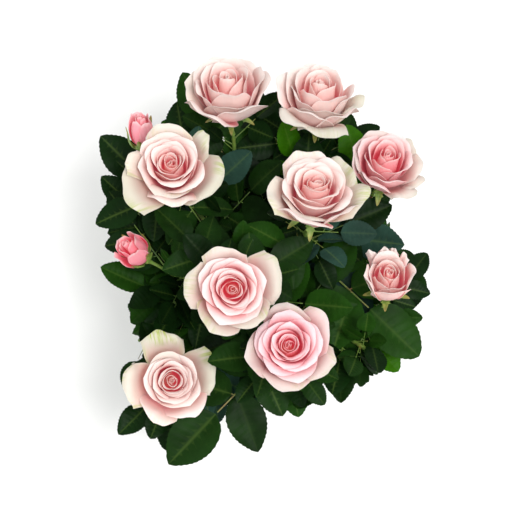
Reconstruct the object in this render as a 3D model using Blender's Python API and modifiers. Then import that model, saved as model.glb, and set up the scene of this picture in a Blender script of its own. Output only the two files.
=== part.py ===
"""Patio rose in a plain round pot: canes, shoots with their leaves, open blooms and buds.

Metres, +Z up. The origin is the centre of the pot's flat underside. Run with
blender --background --python part.py, or from the text editor.
"""
import math
import random

import bmesh
import bpy
from mathutils import Matrix, Vector
from mathutils.bvhtree import BVHTree

# ---- driving dimensions (metres and degrees) ----
GAP = 0.0003                # clearance between pieces that touch
WELD = 0.0000001            # points nearer than this are one
UP = Vector((0, 0, 1))

POT_HEIGHT = 0.113
POT_RIM_RADIUS = 0.065
POT_FOOT_RADIUS = 0.046
POT_WALL = 0.0022
POT_LIP = 0.0030            # how far the rim band stands out
POT_LIP_HEIGHT = 0.013
POT_LIP_DRAFT = 0.0006      # the rim band draws in by this much at its foot
POT_FLOOR = 0.0030
POT_FOOT_EDGE = 0.0008      # the small slope between the wall and the underside
POT_STEPS = 32
DRAIN_HOLES = 6
DRAIN_RADIUS = 0.0045
DRAIN_CIRCLE = 0.033

COMPOST_TOP = 0.100
COMPOST_DOME = 0.0035

CROWN_FOOT_RADIUS = 0.0160
CROWN_WAIST_RADIUS = 0.0125
CROWN_DOME_RADIUS = 0.0135
CROWN_CENTRE = Vector((0, 0, 0.115))

CANE_AZIMUTHS = (18, 90, 160, 232, 304)
CANE_RISE = 46              # above the level at its foot, and CANE_BEND steeper at its tip
CANE_BEND = 14
CANE_LENGTH = 0.036
CANE_RADIUS = 0.0036
CANE_TIP_RADIUS = 0.0030
CANE_FLARE = 1.12
CANE_STEPS = 5
KNUCKLE_RADIUS = 0.0060     # the swollen end of a cane, where its shoots start
KNUCKLE_RINGS = (135, 95, 60, 28)
KNUCKLE_SPREAD = 38         # between the cane's axis and the start of each shoot

STEM_FOOT_RADIUS = 0.0019
STEM_TIP_RADIUS = 0.0013
STEM_RINGS = 7
STEM_CURVE = 0.38           # how far its two ends keep their course, as a share of its length
STALK_RADIUS = 0.0013
STALK_LENGTH = 0.020        # the bare stalk under a bloom's calyx

LEAF_START = 0.05           # the first leaf, as a share of the stem's length
LEAF_SPACING = 0.0168       # along the stem
MOST_LEAVES = 12            # on one shoot
OUTWARD_PULL = 8.0          # how much more a leaf points outwards, for each metre from the pot's axis
LEAF_TURN = 137.5
PETIOLE = 0.021             # from the stem to the lowest pair of leaflets
PAIR_SPACING = 0.022
PAIR_OFFSET = 0.0013        # the two leaflets of a pair sit this far before and behind their place
TERMINAL_STEP = 0.016       # from the last pair to the end leaflet
LEAFLET_LENGTH = 0.043
LEAFLET_WIDTH = 0.68        # this and the next three are shares of its length
LEAFLET_WIDEST = 0.42
LEAFLET_SAG = 0.04          # of the middle, below the line that it leaves the stalk on
LEAFLET_DROP = 0.10         # of the tip
LEAFLET_THICKNESS = 0.0014
LEAFLET_FOLD = 14           # each half rises from the midrib by this angle
PAIR_ANGLE = 64             # of the first pair to the stalk; each pair behind it opens 4 degrees more
PAIR_SIZES = (0.88, 0.74)   # of the end leaflet's length
RACHIS_RADIUS = 0.0010
LEAF_TRIES = 20
LEAF_ROOM = 0.0007          # kept free round each leaflet
CROWN_SLANT = 0.27          # the crown's outline leans back by this much for each metre of height
CROWN_LEVEL = 0.230
LOWEST_TIP = 0.082
RIM_ROOM = 0.001            # between a leaf and the pot's rim
BAR_SIDES = 5               # of the space kept free round a thin limb
BLOOM_SIDES = 10            # and round a flower

HIP_RADIUS = 0.0042         # the swelling under a flower; a closed bud has a narrower one
BUD_HIP_RADIUS = 0.0034
PETAL_THICKNESS = 0.0012
SEPAL_THICKNESS = 0.0014
SEPAL_LENGTH = 0.021
BUD_SEPAL_LENGTH = 0.017
SEPAL_HALF_WIDTH = 0.0034
PINWHEEL = 0.035            # a petal stands out on one side and in on the other, by this share of the width

# name, cane, heart of the flower (x, y, z), azimuth and angle of its lean, width, height, opening
BLOOMS = (
    ("bloom_back_left", 1, (-0.028, 0.133, 0.270), 100, 22, 0.063, 0.044, 0.55),
    ("bloom_back_right", 1, (0.047, 0.124, 0.276), 85, 20, 0.064, 0.046, 0.60),
    ("bloom_right_back", 0, (0.103, 0.070, 0.268), 46, 15, 0.058, 0.042, 0.60),
    ("bloom_left_back", 2, (-0.074, 0.060, 0.288), 250, 5, 0.080, 0.044, 0.90),
    ("bloom_centre_right", 0, (0.042, 0.032, 0.303), 68, 12, 0.080, 0.046, 0.90),
    ("bloom_right", 0, (0.104, -0.020, 0.254), 81, 24, 0.037, 0.036, 0.20),
    ("bloom_centre", 3, (-0.023, -0.045, 0.316), 270, 15, 0.075, 0.041, 1.00),
    ("bloom_front", 4, (0.021, -0.087, 0.298), 270, 4, 0.073, 0.042, 1.00),
    ("bloom_front_left", 3, (-0.074, -0.104, 0.247), 302, 13, 0.077, 0.046, 0.75),
    ("bud_back", 2, (-0.102, 0.110, 0.252), 97, 42, 0.021, 0.033, 0.00),
    ("bud_left", 2, (-0.110, 0.006, 0.247), 161, 46, 0.022, 0.031, 0.00),
)
# cane and tip (x, y, z) of each shoot that carries leaves only
LEAFY_SHOOTS = (
    (0, (0.112, 0.022, 0.205)),
    (1, (0.075, 0.105, 0.215)),
    (1, (-0.030, 0.125, 0.200)),
    (2, (-0.112, 0.055, 0.205)),
    (3, (-0.105, -0.060, 0.195)),
    (4, (0.010, -0.120, 0.195)),
    (4, (0.088, -0.072, 0.215)),
)
# leaves with a set place, most of them on the crown's outline:
# azimuth, reach and height of the tip, heading, leaflet length
SET_LEAVES = (
    (112, 0.180, 0.235, 114, 0.044),
    (117, 0.162, 0.225, 84, 0.040),
    (140, 0.181, 0.215, 143, 0.047),
    (149, 0.161, 0.205, 174, 0.034),
    (153, 0.147, 0.215, 152, 0.036),
    (165, 0.146, 0.220, 182, 0.040),
    (180, 0.134, 0.215, 156, 0.042),
    (206, 0.110, 0.205, 183, 0.041),
    (205, 0.121, 0.195, 130, 0.038),
    (229, 0.182, 0.190, 218, 0.035),
    (245, 0.182, 0.205, 239, 0.055),
    (263, 0.109, 0.190, 350, 0.036),
    (284, 0.126, 0.190, 279, 0.038),
    (301, 0.130, 0.200, 273, 0.047),
    (324, 0.142, 0.190, 332, 0.038),
    (330, 0.151, 0.215, 315, 0.051),
    (5, 0.141, 0.210, 54, 0.039),
    (7, 0.117, 0.235, 343, 0.048),
    (51, 0.158, 0.225, 17, 0.040),
)

# ---- colours: name, sRGB value, roughness ----
FINISHES = {
    "pot": ((0.020, 0.021, 0.022), 0.55),
    "compost": ((0.030, 0.018, 0.011), 0.95),
    "bark": ((0.110, 0.120, 0.040), 0.60),
    "leaf": ((0.018, 0.075, 0.016), 0.42),
    "petal": ((0.830, 0.420, 0.400), 0.50),
}


# ---- scene, materials and mesh helpers ----
def clear_scene():
    for thing in list(bpy.data.objects):
        bpy.data.objects.remove(thing, do_unlink=True)
    for group in list(bpy.data.collections):
        bpy.data.collections.remove(group)


def new_collection(name):
    group = bpy.data.collections.new(name)
    bpy.context.scene.collection.children.link(group)
    return group


def finish(name, kind):
    colour, roughness = FINISHES[kind]
    material = bpy.data.materials.new(name + "_" + kind)
    material.use_nodes = True
    shader = material.node_tree.nodes["Principled BSDF"]
    shader.inputs["Base Color"].default_value = (*colour, 1)
    shader.inputs["Roughness"].default_value = roughness
    shader.inputs["Metallic"].default_value = 0
    return material


def move_to(thing, group):
    for old in list(thing.users_collection):
        old.objects.unlink(thing)
    group.objects.link(thing)


def mesh_object(name, group, points, faces):
    mesh = bpy.data.meshes.new(name)
    mesh.from_pydata([tuple(p) for p in points], [], faces)
    mesh.update()
    thing = bpy.data.objects.new(name, mesh)
    group.objects.link(thing)
    return thing


def baked(thing):
    """Replace an object by the plain mesh that its curve or modifiers give."""
    bpy.context.view_layer.update()
    graph = bpy.context.evaluated_depsgraph_get()
    mesh = bpy.data.meshes.new_from_object(thing.evaluated_get(graph))
    plain = bpy.data.objects.new(thing.name + "_plain", mesh)
    plain.matrix_world = thing.matrix_world
    for group in thing.users_collection:
        group.objects.link(plain)
    name = thing.name
    bpy.data.objects.remove(thing, do_unlink=True)
    plain.name = name
    return plain


def weld(thing):
    """Close the seam and the caps that a curve or a turned profile leaves loose."""
    work = bmesh.new()
    work.from_mesh(thing.data)
    bmesh.ops.remove_doubles(work, verts=work.verts, dist=WELD)
    bmesh.ops.dissolve_degenerate(work, dist=WELD, edges=work.edges)
    bmesh.ops.recalc_face_normals(work, faces=work.faces)
    work.to_mesh(thing.data)
    work.free()
    return thing


def tube(name, group, points, radii, resolution=1):
    """A round limb: a curve with a radius at each point, closed at both ends."""
    curve = bpy.data.curves.new(name, "CURVE")
    curve.dimensions = "3D"
    curve.bevel_depth = 1.0
    curve.bevel_resolution = resolution
    curve.use_fill_caps = True
    line = curve.splines.new("POLY")
    line.points.add(len(points) - 1)
    for dot, place, radius in zip(line.points, points, radii):
        dot.co = (*place, 1)
        dot.radius = radius
    thing = bpy.data.objects.new(name, curve)
    group.objects.link(thing)
    return weld(baked(thing))


def spun(name, group, profile, steps):
    """A turned shape, from a profile of (radius, height) that runs down its outer side."""
    points = [(radius, 0, height) for radius, height in profile]
    edges = [(i, i + 1) for i in range(len(points) - 1)]
    mesh = bpy.data.meshes.new(name)
    mesh.from_pydata(points, edges, [])
    thing = bpy.data.objects.new(name, mesh)
    group.objects.link(thing)
    screw = thing.modifiers.new("turn", "SCREW")
    screw.steps = steps
    screw.render_steps = steps
    screw.use_merge_vertices = True
    screw.merge_threshold = 0.00001
    return weld(baked(thing))


def fuse(base, pieces, name):
    """Join the pieces to the base with one Boolean union on their collection."""
    group = new_collection("fusing")
    for piece in pieces:
        move_to(piece, group)
    union = base.modifiers.new("union", "BOOLEAN")
    union.operation = "UNION"
    union.operand_type = "COLLECTION"
    union.collection = group
    union.solver = "EXACT"
    base = baked(base)
    for piece in list(group.objects):
        bpy.data.objects.remove(piece, do_unlink=True)
    bpy.data.collections.remove(group)
    base.name = name
    return keep_largest(base)


def keep_largest(thing):
    """Drop the loose scraps that a union leaves: only the largest connected body stays."""
    work = bmesh.new()
    work.from_mesh(thing.data)
    bmesh.ops.triangulate(work, faces=work.faces)
    left = set(work.faces)
    bodies = []
    while left:
        body = {left.pop()}
        waiting = list(body)
        while waiting:
            nearby = {other for edge in waiting.pop().edges for other in edge.link_faces} & left
            left -= nearby
            body |= nearby
            waiting.extend(nearby)
        bodies.append(body)
    bodies.sort(key=len)
    for body in bodies[:-1]:
        bmesh.ops.delete(work, geom=list(body), context="FACES")
    work.to_mesh(thing.data)
    work.free()
    return thing


def give(thing, kind):
    thing.data.materials.clear()
    thing.data.materials.append(finish(thing.name, kind))
    return thing


def heading(azimuth, rise):
    """A unit vector from a compass angle about +Z and a rise above the level, in degrees."""
    a, r = math.radians(azimuth), math.radians(rise)
    return Vector((math.cos(a) * math.cos(r), math.sin(a) * math.cos(r), math.sin(r)))


def square_to(direction, wish=UP):
    """The unit vector nearest to wish that is square to direction."""
    side = wish - direction * wish.dot(direction)
    if side.length < 0.01:
        side = direction.orthogonal()
    return side.normalized()


# ---- pot, compost and the foot of the plant ----
def pot_radius(height):
    share = height / POT_HEIGHT
    return POT_FOOT_RADIUS + (POT_RIM_RADIUS - POT_LIP - POT_FOOT_RADIUS) * share


def make_pot(parts, cutters):
    """A thin moulded pot: up its inner side, over the rim, down its outer side and across the foot."""
    step = POT_HEIGHT - POT_LIP_HEIGHT
    profile = [
        (0.0, POT_FLOOR),
        (pot_radius(POT_FLOOR) - POT_WALL, POT_FLOOR),
        (POT_RIM_RADIUS - POT_WALL - POT_LIP, POT_HEIGHT),
        (POT_RIM_RADIUS, POT_HEIGHT),
        (POT_RIM_RADIUS - POT_LIP_DRAFT, step),
        (pot_radius(step), step),
        (POT_FOOT_RADIUS + POT_FOOT_EDGE, POT_FOOT_EDGE * 2),
        (POT_FOOT_RADIUS, 0.0),
        (0.0, 0.0),
    ]
    pot = spun("pot", parts, profile, POT_STEPS)
    for number in range(DRAIN_HOLES):
        bpy.ops.mesh.primitive_cylinder_add(vertices=8, radius=DRAIN_RADIUS, depth=POT_FLOOR * 4)
        hole = bpy.context.object
        hole.location = heading(360 * number / DRAIN_HOLES, 0) * DRAIN_CIRCLE
        hole.hide_render = True
        hole.display_type = "WIRE"
        move_to(hole, cutters)
    cut = pot.modifiers.new("drain holes", "BOOLEAN")
    cut.operation = "DIFFERENCE"
    cut.operand_type = "COLLECTION"
    cut.collection = cutters
    cut.solver = "EXACT"
    return give(pot, "pot")


def make_compost(parts):
    top_radius = pot_radius(COMPOST_TOP) - POT_WALL - GAP
    low = POT_FLOOR + GAP
    profile = [
        (0.0, COMPOST_TOP + COMPOST_DOME),
        (CROWN_FOOT_RADIUS * 1.5, COMPOST_TOP + COMPOST_DOME),
        (top_radius, COMPOST_TOP),
        (pot_radius(low) - POT_WALL - GAP, low),
        (0.0, low),
    ]
    return give(spun("compost", parts, profile, POT_STEPS), "compost")


def make_root_crown(parts):
    foot = COMPOST_TOP + COMPOST_DOME + GAP
    profile = []
    for number in range(5):
        angle = math.radians(90 - 22.5 * number)
        profile.append((CROWN_DOME_RADIUS * math.cos(angle),
                        CROWN_CENTRE.z + CROWN_DOME_RADIUS * math.sin(angle)))
    profile[0] = (0.0, profile[0][1])
    profile.append((CROWN_WAIST_RADIUS, CROWN_CENTRE.z - 0.004))
    profile.append((CROWN_FOOT_RADIUS, foot))
    profile.append((0.0, foot))
    return give(spun("root_crown", parts, profile, 12), "bark")


# ---- canes ----
class Cane:
    """One woody bough: it leaves the root crown, tapers, and ends in a swollen knuckle."""

    def __init__(self, number, azimuth):
        self.name = "cane_%d" % (number + 1)
        out = heading(azimuth, CANE_RISE)
        self.foot = CROWN_CENTRE + out * (CROWN_DOME_RADIUS + GAP)
        bend = heading(azimuth, CANE_RISE + CANE_BEND)
        self.points = [self.foot]
        for step in range(CANE_STEPS):
            course = out.lerp(bend, (step + 1) / CANE_STEPS).normalized()
            self.points.append(self.points[-1] + course * CANE_LENGTH / CANE_STEPS)
        self.axis = (self.points[-1] - self.points[-2]).normalized()
        self.knuckle = self.points[-1] + self.axis * KNUCKLE_RADIUS * 0.85
        thinning = CANE_TIP_RADIUS - CANE_RADIUS
        self.radii = [CANE_RADIUS + thinning * i / CANE_STEPS for i in range(CANE_STEPS + 1)]
        self.radii[0] *= CANE_FLARE
        for angle in KNUCKLE_RINGS:
            turn = math.radians(angle)
            self.points.append(self.knuckle + self.axis * KNUCKLE_RADIUS * math.cos(turn))
            self.radii.append(KNUCKLE_RADIUS * math.sin(turn))

    def make(self, parts):
        return give(tube(self.name, parts, self.points, self.radii), "bark")


def fan(axis, foot, targets):
    """Starting directions of the shoots on a knuckle, spread evenly round the cane's axis."""
    across = square_to(axis)
    side = axis.cross(across)

    def turn_of(target):
        line = target - foot
        return math.atan2(line.dot(side), line.dot(across))

    order = sorted(range(len(targets)), key=lambda i: turn_of(targets[i]))
    count = len(targets)
    slots = [2 * math.pi * rank / count for rank in range(count)]
    off = [turn_of(targets[i]) - slot for i, slot in zip(order, slots)]
    start = math.atan2(sum(map(math.sin, off)), sum(map(math.cos, off)))
    spread = math.radians(KNUCKLE_SPREAD)
    directions = [None] * count
    for rank, i in enumerate(order):
        turn = slots[rank] + start
        lean = across * math.cos(turn) + side * math.sin(turn)
        directions[i] = (axis * math.cos(spread) + lean * math.sin(spread)).normalized()
    return directions


class Stem:
    """The stem of one shoot: a smooth curve from its knuckle to its tip, with its own leaves."""

    def __init__(self, name, knuckle, start, tip, end):
        self.name = name
        foot = knuckle + start * (KNUCKLE_RADIUS + GAP)
        reach = (tip - foot).length * STEM_CURVE
        controls = (foot, foot + start * reach, tip - end * reach, tip)
        self.points = []
        for ring in range(STEM_RINGS + 1):
            t = ring / STEM_RINGS
            weights = ((1 - t) ** 3, 3 * t * (1 - t) ** 2, 3 * t * t * (1 - t), t ** 3)
            self.points.append(sum((c * w for c, w in zip(controls, weights)), Vector((0, 0, 0))))
        self.radii = [STEM_FOOT_RADIUS + (STEM_TIP_RADIUS - STEM_FOOT_RADIUS) * i / STEM_RINGS
                      for i in range(STEM_RINGS + 1)]
        self.lengths = [0.0]
        for a, b in zip(self.points, self.points[1:]):
            self.lengths.append(self.lengths[-1] + (b - a).length)
        self.length = self.lengths[-1]
        self.turn = random.Random(name).uniform(0, 360)
        self.leaves = []

    def at(self, share):
        """Place and direction at a share of the stem's length."""
        want = share * self.length
        i = next((i for i in range(STEM_RINGS) if want <= self.lengths[i + 1]), STEM_RINGS - 1)
        a, b = self.points[i], self.points[i + 1]
        part = (want - self.lengths[i]) / (self.lengths[i + 1] - self.lengths[i])
        return a.lerp(b, part), (b - a).normalized()


# ---- leaves ----
def leaflet_points(base, along, normal, length, grow=0.0):
    """A folded blade of eight faces: root, left, tip, right, crest and keel; grow thickens it.

    The blade starts clear of its stalk, and only its root reaches back to the stalk's axis, base.
    """
    root = base if grow == 0 else base + along * (RACHIS_RADIUS * 2 - grow)
    base = base + along * RACHIS_RADIUS * 2
    side = along.cross(normal).normalized()
    fold = math.radians(LEAFLET_FOLD)
    half = length * LEAFLET_WIDTH / 2 + grow
    middle = base + along * length * LEAFLET_WIDEST - normal * (LEAFLET_SAG * length)
    left = middle + side * (half * math.cos(fold)) + normal * (half * math.sin(fold))
    right = middle - side * (half * math.cos(fold)) + normal * (half * math.sin(fold))
    tip = base + along * (length + grow) - normal * (LEAFLET_DROP * length)
    crest = middle + normal * (grow * 2)
    keel = middle - normal * (LEAFLET_THICKNESS + grow)
    return [root, left, tip, right, crest, keel]


LEAFLET_FACES = [(0, 4, 1), (1, 4, 2), (2, 4, 3), (3, 4, 0), (1, 5, 0), (2, 5, 1), (3, 5, 2), (0, 5, 3)]


def blade_shell(base, along, normal, length):
    """The space that an ovate blade takes: six outline points, a crest and a keel."""
    root, left, tip, right, crest, keel = leaflet_points(base, along, normal, length, LEAF_ROOM)
    high_left = left.lerp(tip, 0.5) + (left - right) * 0.10
    high_right = right.lerp(tip, 0.5) + (right - left) * 0.10
    points = [root, left, high_left, tip, high_right, right, crest, keel]
    return points, SHELL_FACES


SHELL_FACES = [(k, 6, (k + 1) % 6) for k in range(6)] + [((k + 1) % 6, 7, k) for k in range(6)]


def leaf_layout(root, direction, normal, size, pairs, twist):
    """The leaflets of one compound leaf: (base, along, normal, length) for each, end leaflet first."""
    side = direction.cross(normal).normalized()
    rachis = (PETIOLE + PAIR_SPACING * (pairs - 1) + TERMINAL_STEP) * size
    leaflets = [(root + direction * rachis, direction, normal, LEAFLET_LENGTH * size)]
    for pair in range(pairs):
        reach = rachis - TERMINAL_STEP * size - PAIR_SPACING * size * pair
        length = LEAFLET_LENGTH * size * PAIR_SIZES[pair]
        for hand in (1, -1):
            place = root + direction * (reach + PAIR_OFFSET * hand)
            angle = math.radians(PAIR_ANGLE + 4 * pair)
            along = (direction * math.cos(angle) + side * hand * math.sin(angle)
                     + normal * (twist * hand - 0.08)).normalized()
            face = square_to(along, normal + side * hand * 0.15)
            leaflets.append((place, along, face, length))
    return rachis, leaflets


class Crown:
    """The space already taken, as a list of small surfaces with their bounding spheres."""

    def __init__(self):
        self.taken = []

    def add(self, points, faces, owner=None):
        middle = sum(points, Vector((0, 0, 0))) / len(points)
        radius = max((p - middle).length for p in points)
        self.taken.append((middle, radius, BVHTree.FromPolygons(points, faces), owner))

    def free(self, points, faces, ignore=None):
        middle = sum(points, Vector((0, 0, 0))) / len(points)
        radius = max((p - middle).length for p in points)
        tree = None
        for place, size, other, owner in self.taken:
            if owner is not None and owner == ignore:
                continue
            if (place - middle).length > size + radius:
                continue
            if tree is None:
                tree = BVHTree.FromPolygons(points, faces)
            if tree.overlap(other):
                return False
        return True


def bar(start, end, radius):
    """A closed bar of BAR_SIDES sides between two points: the space that a thin limb takes."""
    along = (end - start).normalized()
    side = along.orthogonal().normalized()
    other = along.cross(side)
    turns = [math.tau * k / BAR_SIDES for k in range(BAR_SIDES)]
    ring = [(side * math.cos(turn) + other * math.sin(turn)) * radius for turn in turns]
    points = [start + r for r in ring] + [end + r for r in ring]
    faces = [(k, (k + 1) % BAR_SIDES, (k + 1) % BAR_SIDES + BAR_SIDES, k + BAR_SIDES)
             for k in range(BAR_SIDES)]
    faces += [tuple(reversed(range(BAR_SIDES))), tuple(range(BAR_SIDES, 2 * BAR_SIDES))]
    return points, faces


def rim_shell():
    """The outer side and the top of the pot's rim, for the leaves to stay clear of."""
    count = POT_STEPS
    out = [heading(360 * k / count, 0) * (POT_RIM_RADIUS + RIM_ROOM) for k in range(count)]
    rings = [p + UP * (POT_HEIGHT - POT_LIP_HEIGHT) for p in out]
    rings += [p + UP * (POT_HEIGHT + RIM_ROOM) for p in out]
    rings += [p * 0.9 + UP * (POT_HEIGHT + RIM_ROOM) for p in out]
    faces = [(row + k, row + (k + 1) % count, row + (k + 1) % count + count, row + k + count)
             for row in (0, count) for k in range(count)]
    return rings, faces


def within_outline(point, margin=0.0):
    """True where a point lies inside the outline that the outline leaves draw."""
    slid = Vector((point.x, point.y + (point.z - CROWN_LEVEL) * CROWN_SLANT))
    azimuth = math.degrees(math.atan2(slid.y, slid.x)) % 360
    return slid.length < outline_reach(azimuth) + margin


def outline_reach(azimuth):
    marks = sorted((a, r) for a, r, _, _, _ in SLID_MARKS)
    marks = [(marks[-1][0] - 360, marks[-1][1])] + marks + [(marks[0][0] + 360, marks[0][1])]
    for (a, reach), (b, other) in zip(marks, marks[1:]):
        if a <= azimuth <= b:
            return reach + (other - reach) * (azimuth - a) / max(b - a, 0.001)
    return marks[0][1]


def slid_mark(azimuth, reach, height, *rest):
    x = reach * math.cos(math.radians(azimuth))
    y = reach * math.sin(math.radians(azimuth)) + (height - CROWN_LEVEL) * CROWN_SLANT
    return (math.degrees(math.atan2(y, x)) % 360, math.hypot(x, y), height, *rest)


SLID_MARKS = [slid_mark(*row) for row in SET_LEAVES]


def try_leaf(crown, stem, root, direction, normal, size, pairs, twist, check_outline):
    """The leaflets of a leaf that find free space, or None where its stalk or end leaflet does not."""
    rachis, leaflets = leaf_layout(root, direction, normal, size, pairs, twist)
    end = root + direction * rachis
    points, faces = bar(root, end + direction * 0.003, RACHIS_RADIUS * 1.2 + GAP)
    if not crown.free(points, faces, stem.name):
        return None
    kept = []
    mine = Crown()
    for number, (base, along, face, length) in enumerate(leaflets):
        shell, shell_faces = blade_shell(base, along, face, length)
        tip = shell[3]
        fits = tip.z > LOWEST_TIP and (not check_outline or within_outline(tip))
        if fits and crown.free(shell, shell_faces) and mine.free(shell, shell_faces):
            kept.append((base, along, face, length))
            mine.add(shell, shell_faces)
        elif number == 0:
            return None
    return kept, end, normal


def settle_leaf(crown, stem, root, found):
    kept, end, normal = found
    stem.leaves.append((root, end, normal, kept))
    crown.add(*bar(root, end, RACHIS_RADIUS * 1.2 + GAP), owner=stem.name)
    for base, along, face, length in kept:
        crown.add(*blade_shell(base, along, face, length))


def grow_set_leaves(crown, stems):
    """Place the leaves that reach the crown's outline, each from the stem that suits it best."""
    for number, (azimuth, reach, height, course, length) in enumerate(SET_LEAVES):
        tip = heading(azimuth, 0) * reach + UP * height
        wish = heading(course, 0)
        choices = []
        for stem in stems:
            for step in range(2, 24):
                root, _ = stem.at(step / 24)
                line = tip - root
                turn = line.angle(wish)
                for pairs in (2, 1):
                    full = PETIOLE + PAIR_SPACING * (pairs - 1) + TERMINAL_STEP + LEAFLET_LENGTH
                    size = line.length / full
                    if 0.62 < size < 1.35:
                        cost = abs(size * LEAFLET_LENGTH / length - 1) + turn * 0.5
                        choices.append((cost, stem, root, pairs, size))
        choices.sort(key=lambda choice: choice[0])
        rng = random.Random(500 + number)
        best = None
        for cost, stem, root, pairs, size in choices[:40]:
            direction = (tip - root).normalized()
            for attempt in range(4):
                lean = UP + heading(rng.uniform(0, 360), 0) * 0.14 * attempt
                found = try_leaf(crown, stem, root, direction, square_to(direction, lean),
                                 size, pairs, rng.uniform(-0.15, 0.15), False)
                if found:
                    worth = len(found[0]) - cost * 4
                    if best is None or worth > best[0]:
                        best = (worth, stem, root, found)
        if best:
            settle_leaf(crown, *best[1:])


def grow_leaf(crown, stem, number, rng):
    """Grow the stem's next leaf down from its tip, by the golden turn; the fullest of several tries stays."""
    share = 0.97 - (number + 0.5) * LEAF_SPACING / stem.length
    if share < LEAF_START:
        return
    root, along = stem.at(share)
    outward = Vector((root.x, root.y, 0)) * OUTWARD_PULL
    side = square_to(along)
    best = None
    for attempt in range(LEAF_TRIES):
        angle = math.radians(stem.turn + LEAF_TURN * number + rng.uniform(-50, 50))
        out = side * math.cos(angle) + along.cross(side) * math.sin(angle)
        level = Vector((out.x, out.y, 0)).normalized()
        rise = UP * rng.uniform(-0.60 + 0.25 * share, 0.50)
        direction = (out * 0.5 + level * 0.6 + along * 0.25 + outward + rise).normalized()
        wish = UP + direction * 0.2 + heading(rng.uniform(0, 360), 0) * 0.35
        size = rng.uniform(0.66, 1.08) * (1.0 - 0.45 * max(share - 0.6, 0))
        pairs = 1 if share > 0.85 or rng.random() < 0.2 else 2
        found = try_leaf(crown, stem, root, direction, square_to(direction, wish),
                         size, pairs, rng.uniform(-0.2, 0.2), True)
        if found and len(found[0]) > 1:
            worth = sum(length for _, _, _, length in found[0])
            if best is None or worth > best[0]:
                best = (worth, found)
    if best:
        settle_leaf(crown, stem, root, best[1])


def make_shoot(parts, stem):
    """Fuse a stem, the three-sided stalks of its leaves and their leaflets into one body."""
    body = tube(stem.name, parts, stem.points, stem.radii, 0)
    pieces = []
    for root, end, normal, leaflets in stem.leaves:
        direction = (end - root).normalized()
        far = max((base - root).length for base, _, _, _ in leaflets) + 0.002
        work = bmesh.new()
        bmesh.ops.create_cone(work, cap_ends=True, segments=3, radius1=RACHIS_RADIUS * 1.15,
                              radius2=RACHIS_RADIUS * 0.8, depth=far)
        turn = Matrix((normal.cross(direction), normal, direction)).transposed().to_4x4()
        bmesh.ops.transform(work, verts=work.verts,
                            matrix=Matrix.Translation(root + direction * far / 2) @ turn)
        mesh = bpy.data.meshes.new("stalk")
        work.to_mesh(mesh)
        work.free()
        stalk = bpy.data.objects.new("stalk", mesh)
        parts.objects.link(stalk)
        pieces.append(stalk)
        for base, along, face, length in leaflets:
            points = leaflet_points(base, along, face, length)
            pieces.append(mesh_object("leaflet", parts, points, LEAFLET_FACES))
    return give(fuse(body, pieces, stem.name), "leaf")


# ---- blooms ----
# shares along and across, once round the edge
PETAL_OUTLINE = ((0.0, 0.0), (0.55, 1.0), (0.93, 0.62), (1.0, 0.0), (0.93, -0.62), (0.55, -1.0))
SEPAL_OUTLINE = ((0.0, 0.0), (0.35, 1.0), (1.0, 0.0), (0.35, -1.0))


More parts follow.
